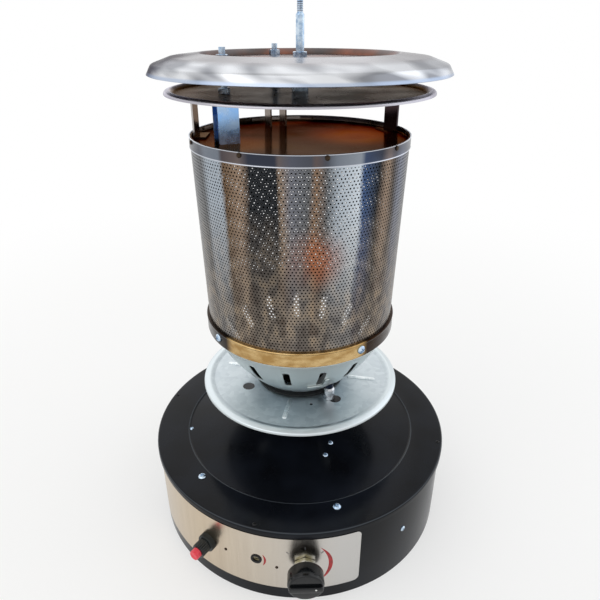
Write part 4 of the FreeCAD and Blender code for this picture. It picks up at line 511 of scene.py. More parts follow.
grained("fitting_brass", "tarnished_brass", ("6a6248", "c9c2ae"), 1, (0.22, 0.4), 5)
grained("pipe_aluminium", "drawn_aluminium_tube", ("a5a7aa", "c2c4c6"), 1, (0.3, 0.42), 0.4, 20)
grained("switch_plastic", "glass_filled_nylon", ("17171a", "232326"), 0, (0.5, 0.7), 0.9, relief=0.03)
grained("spring_wire", "music_wire", ("77787a", "9c9da0"), 1, (0.25, 0.4), 0.6)
grained("gasket_fibre", "ceramic_fibre_felt", ("0f1212", "22272a"), 0, (0.85, 1), 0.5, relief=0.15)
grained("electrode_ceramic", "glazed_alumina", ("d2cfc2", "ebe8dd"), 0, (0.2, 0.35), 2)
grained("lead_silicone", "silicone_rubber_lead", ("33100c", "481813"), 0, (0.6, 0.8), 1.5, relief=0.02)
grained("burner_steel", "sooted_mild_steel", ("1f1c1a", "45403c"), 0.8, (0.5, 0.75), 3, relief=0.03)
grained("red_plastic", "red_nylon", ("d92c3c", "ee4a58"), 0, (0.28, 0.4), 2.5, relief=0.01)
grained("red_ink", "red_screen_ink", ("8e1719", "b8282b"), 0, (0.4, 0.55), 3)
grained("white_ink", "white_screen_ink", ("d8d8d6", "f0f0ee"), 0, (0.4, 0.55), 1)
grained("grey_ink", "grey_screen_ink", ("3d3d40", "5a5a5e"), 0, (0.4, 0.55), 1)
gloss_black = grained("black_plastic", "gloss_black_abs", ("060809", "0d1013"), 0, (0.12, 0.2), 1.2,
                      relief=0.004)
gloss_black.inputs["Specular IOR Level"].default_value = 0.35

# Painted reflection: the left hanger bracket is sky blue from a window; the rear one is brown.
SKY_REFLECTION_UNTIL = -46
sky_reflection_shader = grained("window_reflection_bracket", "sky_reflection_zinc_sheet", ("8fbcf0", "b9d8fa"), 1, (0.2, 0.34), 12)
tree = sky_reflection_shader.id_data
place = tree.nodes["Texture Coordinate"].outputs["Object"]
sky_reflection_side = add_node(tree, "Math", {0: coordinate(tree, place, "X"), 1: SKY_REFLECTION_UNTIL * MM},
                 operation="LESS_THAN")
sky_blue_reflection = sky_reflection_shader.inputs["Base Color"].links[0].from_socket
feed(tree, sky_reflection_shader.inputs["Base Color"], blended(tree, sky_reflection_side, "6b5a4c", sky_blue_reflection))
print(len(finish), "finishes")

# %% [markdown]
# ## Turning an outline
# Most of the heater is sheet metal that was spun or pressed round. Such a piece is one outline, drawn
# as radius and height in millimetres, and turned about the upright axis. The outline is built by
# extruding one vertex from point to point. Corners get arcs, because a press never leaves a sharp one.

# %% Outline helpers
def arc_points(centre, start, end, steps):
    """Points of the shorter arc from start to end round a centre."""
    first = math.atan2(start[1] - centre[1], start[0] - centre[0])
    turn = math.atan2(end[1] - centre[1], end[0] - centre[0]) - first
    turn = (turn + math.pi) % (2 * math.pi) - math.pi
    radius = math.dist(centre, start)
    return [(centre[0] + radius * math.cos(first + turn * k / steps),
             centre[1] + radius * math.sin(first + turn * k / steps)) for k in range(steps + 1)]


def rounded(corners, steps=6):
    """Outline of (radius, height) points. A third number rounds that corner."""
    points = []
    for index, corner in enumerate(corners):
        spot = Vector(corner[:2])
        if len(corner) == 2:
            points.append(tuple(spot))
            continue
        before = (Vector(corners[index - 1][:2]) - spot).normalized()
        after = (Vector(corners[index + 1][:2]) - spot).normalized()
        half = before.angle(after) / 2
        start = spot + before * corner[2] / math.tan(half)
        end = spot + after * corner[2] / math.tan(half)
        centre = spot + (before + after).normalized() * corner[2] / math.sin(half)
        points += arc_points(centre, start, end, steps)
    return points


def bowed(start, end, depth, steps=14):
    """Points from start to end on an arc that bows outwards by a depth."""
    across, up = end[0] - start[0], end[1] - start[1]
    chord = math.hypot(across, up)
    radius = chord ** 2 / (8 * depth) + depth / 2
    back = (radius - depth) / chord
    centre = ((start[0] + end[0]) / 2 - back * up, (start[1] + end[1]) / 2 + back * across)
    return arc_points(centre, start, end, steps)


# %% [markdown]
# ## From outline to mesh
# Spinning the outline round the axis gives a skin, and a solidify modifier gives the skin the
# thickness of the sheet. Modifiers are applied at once, so that each piece ends as a plain mesh.

# %% Mesh helpers
ROUND_STEPS = 192
WIDE_STEPS = 256
DOUBLE = 0.01 * MM


def choose(piece):
    """Makes one object the selected and active one."""
    bpy.ops.object.select_all(action="DESELECT")
    piece.select_set(True)
    bpy.context.view_layer.objects.active = piece


def settle_place(piece):
    """Moves an object's place and turn into its mesh."""
    choose(piece)
    bpy.ops.object.transform_apply(location=True, rotation=True, scale=True)


def open_mesh():
    """Opens the active object for editing, with all of it selected."""
    bpy.ops.object.mode_set(mode="EDIT")
    bpy.ops.mesh.select_all(action="SELECT")


def close_mesh(merged=True):
    """Merges points that lie together, turns the faces outwards and ends the editing."""
    bpy.ops.mesh.select_all(action="SELECT")
    if merged:
        bpy.ops.mesh.remove_doubles(threshold=DOUBLE)
    bpy.ops.mesh.normals_make_consistent(inside=False)
    bpy.ops.object.mode_set(mode="OBJECT")


def change(piece, kind, **settings):
    """Adds a modifier with these settings and applies it."""
    choose(piece)
    modifier = piece.modifiers.new(kind.lower(), kind)
    for name, value in settings.items():
        setattr(modifier, name, value)
    bpy.ops.object.modifier_apply(modifier=modifier.name)


def combine(piece, tool, operation):
    """Boolean of a piece and a tool. The tool is then removed."""
    change(piece, "BOOLEAN", operation=operation, solver="EXACT", object=tool)
    bpy.data.objects.remove(tool)


def joined(pieces):
    """Joins several objects into the first."""
    choose(pieces[0])
    for piece in pieces[1:]:
        piece.select_set(True)
    if len(pieces) > 1:
        bpy.ops.object.join()
    return pieces[0]


def turned(name, outline, steps=ROUND_STEPS):
    """Turns an outline of (radius, height) points in millimetres about the upright axis."""
    radius, height = outline[0]
    bpy.ops.mesh.primitive_plane_add(size=MM, location=(radius * MM, 0, height * MM))
    piece = bpy.context.object
    piece.name = name
    settle_place(piece)
    open_mesh()
    bpy.ops.mesh.merge(type="CENTER")
    for here, there in zip(outline, outline[1:]):
        step = ((there[0] - here[0]) * MM, 0, (there[1] - here[1]) * MM)
        bpy.ops.mesh.extrude_region_move(TRANSFORM_OT_translate={"value": step})
    bpy.ops.mesh.select_all(action="SELECT")
    bpy.ops.mesh.spin(steps=steps, angle=2 * math.pi, center=(0, 0, 0), axis=(0, 0, 1))
    close_mesh()
    return piece


def sheet(name, outline, thickness, steps=ROUND_STEPS):
    """Turned sheet metal: the outline is the middle of the sheet."""
    piece = turned(name, outline, steps)
    change(piece, "SOLIDIFY", thickness=thickness * MM, offset=0, use_even_offset=True)
    return piece


def reach(node):
    """Outer radius, lowest and highest point of a round CAD node, in millimetres."""
    low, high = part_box(node)
    return high.x / MM, low.z / MM, high.z / MM


def settle(piece, slot, *replaced, body="heater", smooth=35, coat=None):
    """Smooths a finished piece, gives it its finish, and lets it ride and stand for CAD nodes."""
    choose(piece)
    bpy.ops.object.shade_smooth_by_angle(angle=math.radians(smooth))
    piece.data.materials.clear()
    piece.data.materials.append(finish[coat or slot])
    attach(piece, body)
    if replaced:
        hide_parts(*replaced)
    print(piece.name, "has", len(piece.data.polygons), "faces")


# %% [markdown]
# ## Placing and cutting
# An azimuth counts degrees from the front towards the right. Screws and holes are modelled once at
# the origin and then placed by a matrix: standing on a face that looks up, or looking out of the wall.

# %% Placing and cutting helpers
def rotation(degrees, axis):
    """Matrix that turns about an axis."""
    return Matrix.Rotation(math.radians(degrees), 4, axis)


def shift(x, y, z):
    """Matrix that moves by millimetres."""
    return Matrix.Translation((x * MM, y * MM, z * MM))


def upright(azimuth, radius, height, lean=0):
    """Place on a face that looks up, at an azimuth, a radius and a height in millimetres."""
    return rotation(azimuth, "Z") @ shift(0, -radius, height) @ rotation(lean, "X")


def facing(azimuth, distance, height):
    """Place whose own Z axis looks outwards from the heater's axis."""
    return upright(azimuth, distance, height, 90)


def repeated(model, places, name):
    """One piece made of a copy of the model at each place. The model itself is removed."""
    copies = []
    for place in places:
        choose(model)
        bpy.ops.object.duplicate(linked=False)
        copy = bpy.context.object
        copy.matrix_world = place
        settle_place(copy)
        copies.append(copy)
    bpy.data.objects.remove(model)
    piece = joined(copies)
    piece.name = name
    return piece


def round_bar(radius, low, high, steps=48):
    """Round cutter along the upright axis, from low to high."""
    return turned("bar", [(0, low), (radius, low), (radius, high), (0, high)], steps)


def oblong_bar(wide, tall, deep, corner, steps=5):
    """Bar with rounded corners, middle at the origin, along its own Z axis."""
    bpy.ops.mesh.primitive_plane_add(size=MM)
    bar = bpy.context.object
    bar.scale = (wide, tall, 1)
    bar.location = (0, 0, -deep / 2 * MM)
    settle_place(bar)
    open_mesh()
    bpy.ops.mesh.bevel(offset=corner * MM, segments=steps, affect="VERTICES")
    bpy.ops.mesh.select_all(action="SELECT")
    bpy.ops.mesh.extrude_region_move(TRANSFORM_OT_translate={"value": (0, 0, deep * MM)})
    close_mesh(merged=False)
    return bar


def soften(piece, width):
    """Bevels the sharp edges of a bar by a width in millimetres."""
    change(piece, "BEVEL", width=width * MM, segments=3, limit_method="ANGLE",
           angle_limit=math.radians(60))


def cut_away(piece, cutter, places):
    """Cuts a copy of the cutter out of the piece at each place."""
    combine(piece, repeated(cutter, places, "cutter"), "DIFFERENCE")


# %% [markdown]
# ## Housing
# The wall is a rolled ring with an inturned flange, and the cover a pressing with a skirt, a shallow
# step and a cone that ends in a collar round the burner's neck. Each is one outline through the
# middle of its sheet, and its radius and heights are read from the frame.

# %% Housing wall and top cover
STEEL = 1.0
BEND = 1.6
WALL_FLANGE = 9
wall_radius, wall_foot, wall_top = reach("housing_wall")
wall = sheet("housing_shell", rounded([
    (wall_radius - STEEL / 2, wall_foot),
    (wall_radius - STEEL / 2, wall_top - STEEL / 2, BEND - STEEL / 2),
    (wall_radius - WALL_FLANGE, wall_top - STEEL / 2)]), STEEL, WIDE_STEPS)
settle(wall, "black_paint", "housing_wall")

SKIRT_DROP = 7
STEP_RADIUS = 142
STEP_WIDTH = 2.5
STEP_DEPTH = 1.5
STEP_BEND = 1.5
CONE_RISE = 17.5
CONE_BEND = 3
COLLAR_RADIUS = 44.6
cover_radius, skirt_foot, collar_top = reach("top_cover")
cover_top = skirt_foot + SKIRT_DROP
cone_foot = cover_top - STEP_DEPTH
cone_edge = STEP_RADIUS - STEP_WIDTH
cover = sheet("pressed_cover", rounded([
    (cover_radius - STEEL / 2, skirt_foot),
    (cover_radius - STEEL / 2, cover_top - STEEL / 2, BEND + STEEL / 2),
    (STEP_RADIUS, cover_top - STEEL / 2, STEP_BEND),
    (cone_edge, cone_foot - STEEL / 2, STEP_BEND),
    (COLLAR_RADIUS, cone_foot + CONE_RISE - STEEL / 2, CONE_BEND),
    (COLLAR_RADIUS, collar_top)]), STEEL, WIDE_STEPS)
settle(cover, "black_paint", "top_cover")

# %% [markdown]
# ## Burner neck
# The neck is a drawn tube that carries the disc. A plain cylinder would do for its side, but the
# turned outline also gives the mouth, which is rolled inwards.

# %% Burner neck
NECK_MOUTH = 31
neck_radius, neck_foot, neck_top = reach("burner_neck")
neck = sheet("neck_tube", rounded([
    (neck_radius - STEEL / 2, neck_foot),
    (neck_radius - STEEL / 2, neck_top - STEEL / 2, BEND),
    (NECK_MOUTH, neck_top - STEEL / 2)]), STEEL, 128)
settle(neck, "black_paint", "burner_neck")

# %% [markdown]
# ## Heat disc
# The disc is galvanised sheet with a rim that rises, rolls over and drops. The rim's rounding is
# what catches the light, so it gets arcs. Holes let air and the pilot's tube through, and four
# pressed ribs stiffen the flat.

# %% Heat disc
SHEET = 0.8
RIM_WIDTH = 12.6
RIM_RISE = 3
BURNER_HOLE = 16.2
disc_radius, disc_edge, disc_crest = reach("heat_disc")
disc_middle = disc_crest - RIM_RISE - SHEET / 2
disc = sheet("galvanised_disc", rounded([
    (BURNER_HOLE, disc_middle),
    (disc_radius - RIM_WIDTH, disc_middle, 3),
    (disc_radius - RIM_WIDTH / 2, disc_middle + RIM_RISE, 4.6),
    (disc_radius - SHEET / 2, disc_middle + RIM_RISE / 3, 1.3),
    (disc_radius - SHEET / 2, disc_edge)]), SHEET, WIDE_STEPS)
PORT_RADIUS = 7
SMALL_HOLE = 2
PILOT_HOLE = 2.2
PILOT_AT = 62.5
PILOT_AZIMUTH = 32
HOLES = ((PORT_RADIUS, 48, 68, (36, -63)), (SMALL_HOLE, 24, 66, (11,)),
         (PILOT_HOLE, 24, PILOT_AT, (PILOT_AZIMUTH,)))
for size, steps, away, azimuths in HOLES:
    cut_away(disc, round_bar(size, -4, 4, steps),
             [upright(azimuth, away, disc_middle) for azimuth in azimuths])
settle(disc, "galvanised_steel", "heat_disc")

# %% [markdown]
# ## Disc ribs
# A rib is a bead pressed into the flat. A softened bar that stands half out of the sheet shows the
# same bead, and leaves the sheet's own mesh simple.

# %% Disc ribs
RIB_LENGTH = 34
RIB_WIDTH = 5
RIB_HEIGHT = 1.2
RIB_MIDDLE = 75
RIB_AZIMUTH = -11
rib = oblong_bar(RIB_WIDTH, RIB_LENGTH, RIB_HEIGHT * 2, RIB_WIDTH / 2 - 0.05, 6)
soften(rib, 1.0)
ribs = repeated(rib, [upright(RIB_AZIMUTH + 90 * k, RIB_MIDDLE, disc_middle + SHEET / 2)
                      for k in range(4)], "disc_ribs")
# The ribs take the paler zinc, a painted highlight.
settle(ribs, "galvanised_steel", smooth=60, coat="rib_highlight_zinc")

# %% [markdown]
# ## Burner bowl
# The bowl is bowed galvanised sheet with fifteen slots that let air in. The slots are cut by one
# boolean with fifteen copies of a rounded bar, which leaves clean edges all through the sheet.

# %% Burner bowl
BOWL_FOOT = 178.5
BOWL_FOOT_RADIUS = 46
BOWL_TOP_RADIUS = 101
BOWL_BOW = 6.5
bowl_reach, _, bowl_top = reach("burner_bowl")
bowl = sheet("slotted_bowl", [(BURNER_HOLE, BOWL_FOOT + SHEET / 2)]
             + bowed((BOWL_FOOT_RADIUS - SHEET / 2, BOWL_FOOT + SHEET / 2),
                     (BOWL_TOP_RADIUS - SHEET / 2, bowl_top - SHEET / 2), BOWL_BOW)
             + [(bowl_reach, bowl_top - SHEET / 2)], SHEET, 240)
SLOT_COUNT = 15
SLOT_AZIMUTH = -9
SLOT_LOW = 211
SLOT_HIGH = 237
SLOT_WIDE = 7.4
SLOT_CORNER = 2.2
SLOT_AT = 85
CUT_DEPTH = 60
slot_bar = oblong_bar(SLOT_WIDE, SLOT_HIGH - SLOT_LOW, CUT_DEPTH, SLOT_CORNER)
cut_away(bowl, slot_bar, [facing(SLOT_AZIMUTH + 360 / SLOT_COUNT * k, SLOT_AT, (SLOT_LOW + SLOT_HIGH) / 2)
                          for k in range(SLOT_COUNT)])
PILOT_NOTCH = 7.2
cut_away(bowl, round_bar(PILOT_NOTCH, -16, 16), [upright(PILOT_AZIMUTH, PILOT_AT, 195)])
settle(bowl, "galvanised_steel", "burner_bowl")

# %% [markdown]
# ## Emitter
# The base ring holds the foot of the screen, the band closes its top, and both are plain strips of
# steel. The screen between them is perforated.

# %% Emitter ring and band
RING_SHEET = 1.0
RING_FLARE = 0.6
RING_LIP = 97
RING_SEAT = 103.7
ring_radius, ring_foot, ring_top = reach("emitter_base_ring")
ring_side = ring_radius - RING_FLARE - RING_SHEET / 2
ring = sheet("base_ring", rounded([
    (RING_LIP, ring_foot + RING_SHEET / 2),
    (ring_side, ring_foot + RING_SHEET / 2, 1.1),
    (ring_side, ring_top - 2, 2),
    (ring_side + RING_FLARE, ring_top - RING_SHEET / 2, 0.6),
    (RING_SEAT, ring_top - RING_SHEET / 2)]), RING_SHEET, 240)
settle(ring, "tinted_ring_steel", "emitter_base_ring")

BAND_FLARE = 0.35
FOOT_HEM = 1.2
TOP_HEM = 1.3
band_radius, band_foot, band_top = reach("emitter_top_band")
band_side = band_radius - SHEET / 2
band = sheet("top_band", [(band_side, band_foot), (band_side - BAND_FLARE, band_foot + FOOT_HEM),
                          (band_side - BAND_FLARE, band_top - TOP_HEM), (band_side, band_top)],
             SHEET, 240)
settle(band, "emitter_steel", "emitter_top_band")

PLATE_TOP = 458.3
PLATE_BEND = 1.2
plate_radius, _, plate_rim = reach("emitter_top_plate")
plate = sheet("closing_plate", rounded([
    (0, PLATE_TOP - SHEET / 2),
    (plate_radius - SHEET / 2, PLATE_TOP - SHEET / 2, PLATE_BEND),
    (plate_radius - SHEET / 2, plate_rim)]), SHEET, 240)
settle(plate, "mirror_steel", "emitter_top_plate")

# %% [markdown]
# ## Perforated screen
# The screen is a slightly conical sheet between the ring and the band. Round holes of a little under
# two millimetres stand in a triangle pattern, three and a half apart, twelve thousand in all.

# %% Screen sizes
HOLE_RADIUS = 0.85
HOLE_STEPS = 12
PITCH = 3.5
COLUMNS = 190
SECTORS = 5
ROW_PAIRS = 32
ROW_STEP = PITCH * math.sqrt(3) / 2
SCREEN_LOW = 260
SCREEN_SHEET = 0.6
SCREEN_FOOT_RADIUS = 103.1
SCREEN_FLARE = 5.3
_, screen_foot, screen_top = reach("emitter_screen")


def screen_face(height):
    """Radius of the middle of the screen's sheet at a height."""
    share = (height - screen_foot) / (screen_top - screen_foot)
    return SCREEN_FOOT_RADIUS + SCREEN_FLARE * share - SCREEN_SHEET / 2


# %% [markdown]
# ## One cell of the perforation
# A press punches the holes into flat sheet. A boolean for each hole would take far too long, so one
# cell is modelled, a hexagon with a hole in its middle, of only a few dozen faces. Arrays repeat it
# over a fifth of the circumference, and the flat sheet then gets its thickness.

# %% One cell, repeated over a flat sector
bpy.ops.mesh.primitive_circle_add(vertices=HOLE_STEPS, radius=HOLE_RADIUS * MM,
                                  rotation=(math.radians(90), 0, 0))
sector = bpy.context.object
sector.name = "emitter_sector_1"
settle_place(sector)
open_mesh()
bpy.ops.mesh.extrude_region_move()
bpy.ops.transform.resize(value=(PITCH / 2 / HOLE_RADIUS,) * 3)
bpy.ops.mesh.select_all(action="DESELECT")
bpy.ops.object.mode_set(mode="OBJECT")
for vertex in sector.data.vertices:
    turn = math.degrees(math.atan2(vertex.co.z, vertex.co.x)) % 60
    vertex.select = vertex.co.length > 1.2 * HOLE_RADIUS * MM and 20 < turn < 40
bpy.ops.object.mode_set(mode="EDIT")
bpy.ops.transform.resize(value=(2 / math.sqrt(3),) * 3)
bpy.ops.object.mode_set(mode="OBJECT")
REPEATS = ((2, PITCH / 2, ROW_STEP), (COLUMNS // SECTORS, PITCH, 0), (ROW_PAIRS, 0, 2 * ROW_STEP))
for count, across, up in REPEATS:
    change(sector, "ARRAY", count=count, use_relative_offset=False, use_constant_offset=True,
           constant_offset_displace=(across * MM, 0, up * MM))
open_mesh()
close_mesh()
change(sector, "SOLIDIFY", thickness=SCREEN_SHEET * MM, offset=0)

print(sector.name, "has", len(sector.data.polygons), "faces before it is bent")

# %% [markdown]
# ## Bending the screen
# The real sheet is rolled into a cone. A bend modifier can't make a cone, so each point's distance
# along the sheet becomes an angle, and its radius is that of the cone at its height.

# %% Bend the sector and copy it round
flat_radius = COLUMNS * PITCH / (2 * math.pi)
for vertex in sector.data.vertices:
    height = SCREEN_LOW + vertex.co.z / MM
    turn = vertex.co.x / MM / flat_radius
    radius = (screen_face(height) - vertex.co.y / MM) * MM
    vertex.co = (radius * math.sin(turn), -radius * math.cos(turn), height * MM)
sectors = [sector]
for index in range(1, SECTORS):
    choose(sector)
    bpy.ops.object.duplicate(linked=False)
    copy = bpy.context.object
    copy.name = f"emitter_sector_{index + 1}"
    copy.rotation_euler = (0, 0, 2 * math.pi / SECTORS * index)
    settle_place(copy)
    sectors.append(copy)

# %% [markdown]
# ## Plain edges of the screen
# The punch leaves a plain strip at the foot and the top of the sheet, where the ring and the band
# hold it. Both strips are turned outlines on the same cone, joined into one piece.

# %% Plain edges of the screen
perforated_top = SCREEN_LOW + (2 * ROW_PAIRS - 1) * ROW_STEP
edges = [sheet(name, [(screen_face(height), height) for height in heights], SCREEN_SHEET)
         for name, heights in (("screen_edges", (screen_foot, SCREEN_LOW)),
                               ("upper_edge", (perforated_top, screen_top)))]
settle(joined(edges), "emitter_steel", "emitter_screen")
for piece in sectors:
    settle(piece, "emitter_steel", smooth=20)

# %% [markdown]
# ## Top plates
# Above the emitter lie a flat flange with a rolled rim and a dished pan, both spun from steel sheet.
# They turn the hot gas outwards, and the pan carries the reflector's stud.

# %% Lower flange and top pan
FLANGE_TOP = 501.5
FLANGE_RIM = 9
FLANGE_RISE = 3.4
STUD_RADIUS = 4
STUD_HOLE = STUD_RADIUS + 0.1
flange_radius, _, _ = reach("lower_flange")
flange_level = FLANGE_TOP - SHEET / 2
flange_under = FLANGE_TOP - SHEET
flange = sheet("rolled_flange", rounded([
    (STUD_HOLE, flange_level),
    (flange_radius - FLANGE_RIM, flange_level, 1.5),
    (flange_radius - FLANGE_RIM * 0.6, flange_level + FLANGE_RISE, 2),
    (flange_radius - SHEET / 2, flange_level + FLANGE_RISE * 0.7, 2.6),
    (flange_radius - SHEET / 2, flange_level)]), SHEET, WIDE_STEPS)
settle(flange, "pressed_steel", "lower_flange")

PAN_SHEET = 1.0
PAN_FLOOR = 529.5
PAN_FLOOR_RADIUS = 89.75
PAN_CREST = (94, 535.3)
PAN_SHOULDER = (120, 532.5)
PAN_SIDE = (136.75, 526.5)
pan_radius, pan_lip, _ = reach("top_pan")
pan = sheet("dished_pan", rounded([
    (STUD_HOLE, PAN_FLOOR - PAN_SHEET / 2),
    (PAN_FLOOR_RADIUS, PAN_FLOOR - PAN_SHEET / 2, 1.7),
    (PAN_CREST[0], PAN_CREST[1] - PAN_SHEET / 2, 1.7),
    (PAN_SHOULDER[0], PAN_SHOULDER[1] - PAN_SHEET / 2, 12.5),
    (PAN_SIDE[0], PAN_SIDE[1] - PAN_SHEET / 2, 4.5),
    (pan_radius - PAN_SHEET / 2, pan_lip)]), PAN_SHEET, WIDE_STEPS)
settle(pan, "pressed_steel", "top_pan")

# %% [markdown]
# ## Control panel
# The panel is a thin plate with rounded corners, bent round the wall. It is modelled flat, cut into
# narrow strips so that it can bend, and wrapped round the axis by a formula.

# %% Control panel
PANEL_START = -66
PANEL_END = 21
PANEL_LOW = 17
PANEL_HIGH = 93
PANEL_SHEET = 0.8
PANEL_CORNER = 6
PANEL_FACE = wall_radius + 0.1 + PANEL_SHEET
KNOB_PLACE = (1.7, 55)
IGNITER_PLACE = (-34, 55)
ADJUSTER_PLACE = (-15, 57)


def along(azimuth):
    """Distance along the panel's face from the front, in millimetres."""
    return math.radians(azimuth) * PANEL_FACE


def on_flat(azimuth, height, inwards=0):
    """Place on the flat panel, with its own Z axis looking out."""
    return shift(along(azimuth), inwards, height) @ rotation(90, "X")


def wrap(piece):
    """Wraps a flat piece round the axis: X runs along the face, Y into it, and Z stays."""
    for vertex in piece.data.vertices:
        turn = vertex.co.x / MM / PANEL_FACE
        radius = PANEL_FACE * MM - vertex.co.y
        vertex.co = (radius * math.sin(turn), -radius * math.cos(turn), vertex.co.z)


panel = oblong_bar(along(PANEL_END) - along(PANEL_START), PANEL_HIGH - PANEL_LOW, PANEL_SHEET,
                   PANEL_CORNER, 8)
middle = on_flat((PANEL_END + PANEL_START) / 2, (PANEL_LOW + PANEL_HIGH) / 2, PANEL_SHEET / 2)
panel = repeated(panel, [middle], "curved_panel")
PANEL_HOLES = ((KNOB_PLACE, 9.1), (IGNITER_PLACE, 7.6), (ADJUSTER_PLACE, 5.05))
for spot, size in PANEL_HOLES:
    cut_away(panel, round_bar(size, -3, 3), [on_flat(*spot)])
choose(panel)
bpy.ops.object.mode_set(mode="EDIT")
for azimuth in range(PANEL_START + 1, PANEL_END):
    bpy.ops.mesh.select_all(action="SELECT")
    bpy.ops.mesh.bisect(plane_co=(along(azimuth) * MM, 0, 0), plane_no=(1, 0, 0))
bpy.ops.object.mode_set(mode="OBJECT")
wrap(panel)
settle(panel, "panel_steel", "control_panel")

# %% [markdown]
# ## Printed marks
# Printing is thinner than a hair. The red crescents that swell round the knob and the adjuster are
# what is left of a disc when a much larger disc is cut away, and they are bent round the wall like
# the panel. Lettering is left off; three plain ticks stand for the knob's positions.

# %% Printed marks
INK = 0.12
INK_SINK = 0.06
CRESCENTS = (("knob_crescent", 29.5, 4.4, 57, KNOB_PLACE),
             ("adjuster_crescent", 10.8, 2.4, 50, ADJUSTER_PLACE))


def printed(name, radius, wide, reach_up, place):
    """Thin crescent that swells on the right side of a control."""
    edge = radius * math.sin(math.radians(reach_up))
    flat = radius * math.cos(math.radians(reach_up))
    inner = radius - wide
    back = (edge ** 2 + flat ** 2 - inner ** 2) / (2 * (inner - flat))
    mark = round_bar(radius, -INK / 2, INK / 2, 128)
    cut_away(mark, round_bar(inner + back, -INK, INK, 360), [shift(-back, 0, 0)])
    return repeated(mark, [on_flat(*place, -INK_SINK)], name)


for crescent in CRESCENTS:
    mark = printed(*crescent)
    wrap(mark)
    settle(mark, "panel_steel", coat="red_ink")

TICK_AT = 25.5
TICK_WIDE = 0.9
TICK_LONG = 4
tick = oblong_bar(TICK_WIDE, TICK_LONG, INK, 0.3)
spots = [on_flat(*KNOB_PLACE, -INK_SINK) @ rotation(turn, "Z") @ shift(0, TICK_AT, 0)
         for turn in (45, 0, -45)]
ticks = repeated(tick, spots, "knob_ticks")
wrap(ticks)
settle(ticks, "panel_steel", coat="grey_ink")

# %% [markdown]
# ## Gas knob
# The knob is a moulded cap, hollow behind so that it can be pushed in over the hexagon that holds the
# valve to the panel, with a bar across its face for the fingers. The cap is a turned outline, the bar
# a rounded block with bevelled edges, and a union makes one moulding of them.

# %% Gas knob
KNOB_RADIUS = 19
KNOB_WALL = 16
KNOB_HUB = 7.5
KNOB_CORE = 4.2
KNOB_BACK = 187.4
HUB_BACK = 191.6
KNOB_RECESS = 195.6
KNOB_RIDGE = 200.6
KNOB_FLOOR = 202.7
KNOB_FRONT = 204.7
knob_place = facing(KNOB_PLACE[0], 0, KNOB_PLACE[1])
knob = turned("knob_moulding", rounded([
    (0, KNOB_FLOOR), (KNOB_CORE, KNOB_FLOOR), (KNOB_CORE, HUB_BACK), (KNOB_HUB, HUB_BACK),
    (KNOB_HUB, KNOB_RECESS), (KNOB_WALL, KNOB_RECESS), (KNOB_WALL, KNOB_BACK),
    (KNOB_RADIUS - 0.3, KNOB_BACK, 2.2), (KNOB_RADIUS, KNOB_RIDGE, 0.3),
    (KNOB_RADIUS - 0.7, KNOB_RIDGE + 0.5), (KNOB_RADIUS - 0.9, KNOB_FRONT, 1.6),
    (0, KNOB_FRONT)], 5), 128)
GRIP_LONG = 34.6
GRIP_WIDE = 7
GRIP_SINK = 0.5
GRIP_HIGH = 3.2
grip = oblong_bar(GRIP_LONG, GRIP_WIDE, GRIP_HIGH + GRIP_SINK, 2.1)
soften(grip, 0.9)
grip.location = (0, 0, (KNOB_FRONT + (GRIP_HIGH - GRIP_SINK) / 2) * MM)
settle_place(grip)
combine(knob, grip, "UNION")
settle(repeated(knob, [knob_place], "knob_moulding"), "black_plastic", "gas_knob", body="knob")

DOT_AT = (10, 1.2)
DOT_SINK = 0.02
dot = repeated(round_bar(1.0, 0, 0.1, 24),
               [knob_place @ shift(*DOT_AT, KNOB_FRONT + GRIP_HIGH - DOT_SINK)], "knob_dot")
settle(dot, "black_plastic", body="knob", coat="white_ink")

# %% [markdown]
# ## Hexagon behind the knob
# A hexagon of tarnished nickel holds the valve to the panel. It starts as a prism with six sides,
# and a turned limit rounds its corners off, as the lathe does with a real nut.

# %% Hexagon behind the knob
def hexagon_nut(name, flats, low, high, bore):
    """Hexagon nut with both ends chamfered, on the upright axis."""
    corner = flats / math.sqrt(3)
    bpy.ops.mesh.primitive_cylinder_add(vertices=6, radius=corner * MM, depth=(high - low) * MM,
                                        location=(0, 0, (low + high) / 2 * MM))
    nut = bpy.context.object
    settle_place(nut)
    face, outer = flats / 2 * 0.96, corner * 1.01
    slope = (corner - flats / 2) * 0.6
    limit = turned("limit", [(bore, low), (face, low), (outer, low + slope), (outer, high - slope),
                             (face, high), (bore, high), (bore, low)], 48)
    combine(nut, limit, "INTERSECT")
    nut.name = name
    return nut


BEZEL_FLATS = 22
NUT_FRONT = PANEL_FACE + 6
bezel = hexagon_nut("knob_hexagon", BEZEL_FLATS, PANEL_FACE, NUT_FRONT, 8.6)
settle(repeated(bezel, [knob_place], "knob_hexagon"), "fitting_brass", "valve_bezel",
       coat="valve_nickel")

# %% [markdown]
# ## Igniter
# A push button igniter: a black barrel with ribs for the fingers, held by a ribbed ring nut, and a
# red button that slides in it. The ribs come from pushing every second pair of a turned outline's
# lines inwards. The button's end is slightly hollow for the fingertip.

# %% Igniter
def ribbed(piece, steps, depth, beyond):
    """Pushes alternate pairs of upright lines inwards, so that ribs are left."""
    for vertex in piece.data.vertices:
        radius = math.hypot(vertex.co.x, vertex.co.y)
        line = round(math.atan2(vertex.co.y, vertex.co.x) / (2 * math.pi) * steps)
        if radius > beyond * MM and line % 4 < 2:
            vertex.co.x *= 1 - depth * MM / radius
            vertex.co.y *= 1 - depth * MM / radius


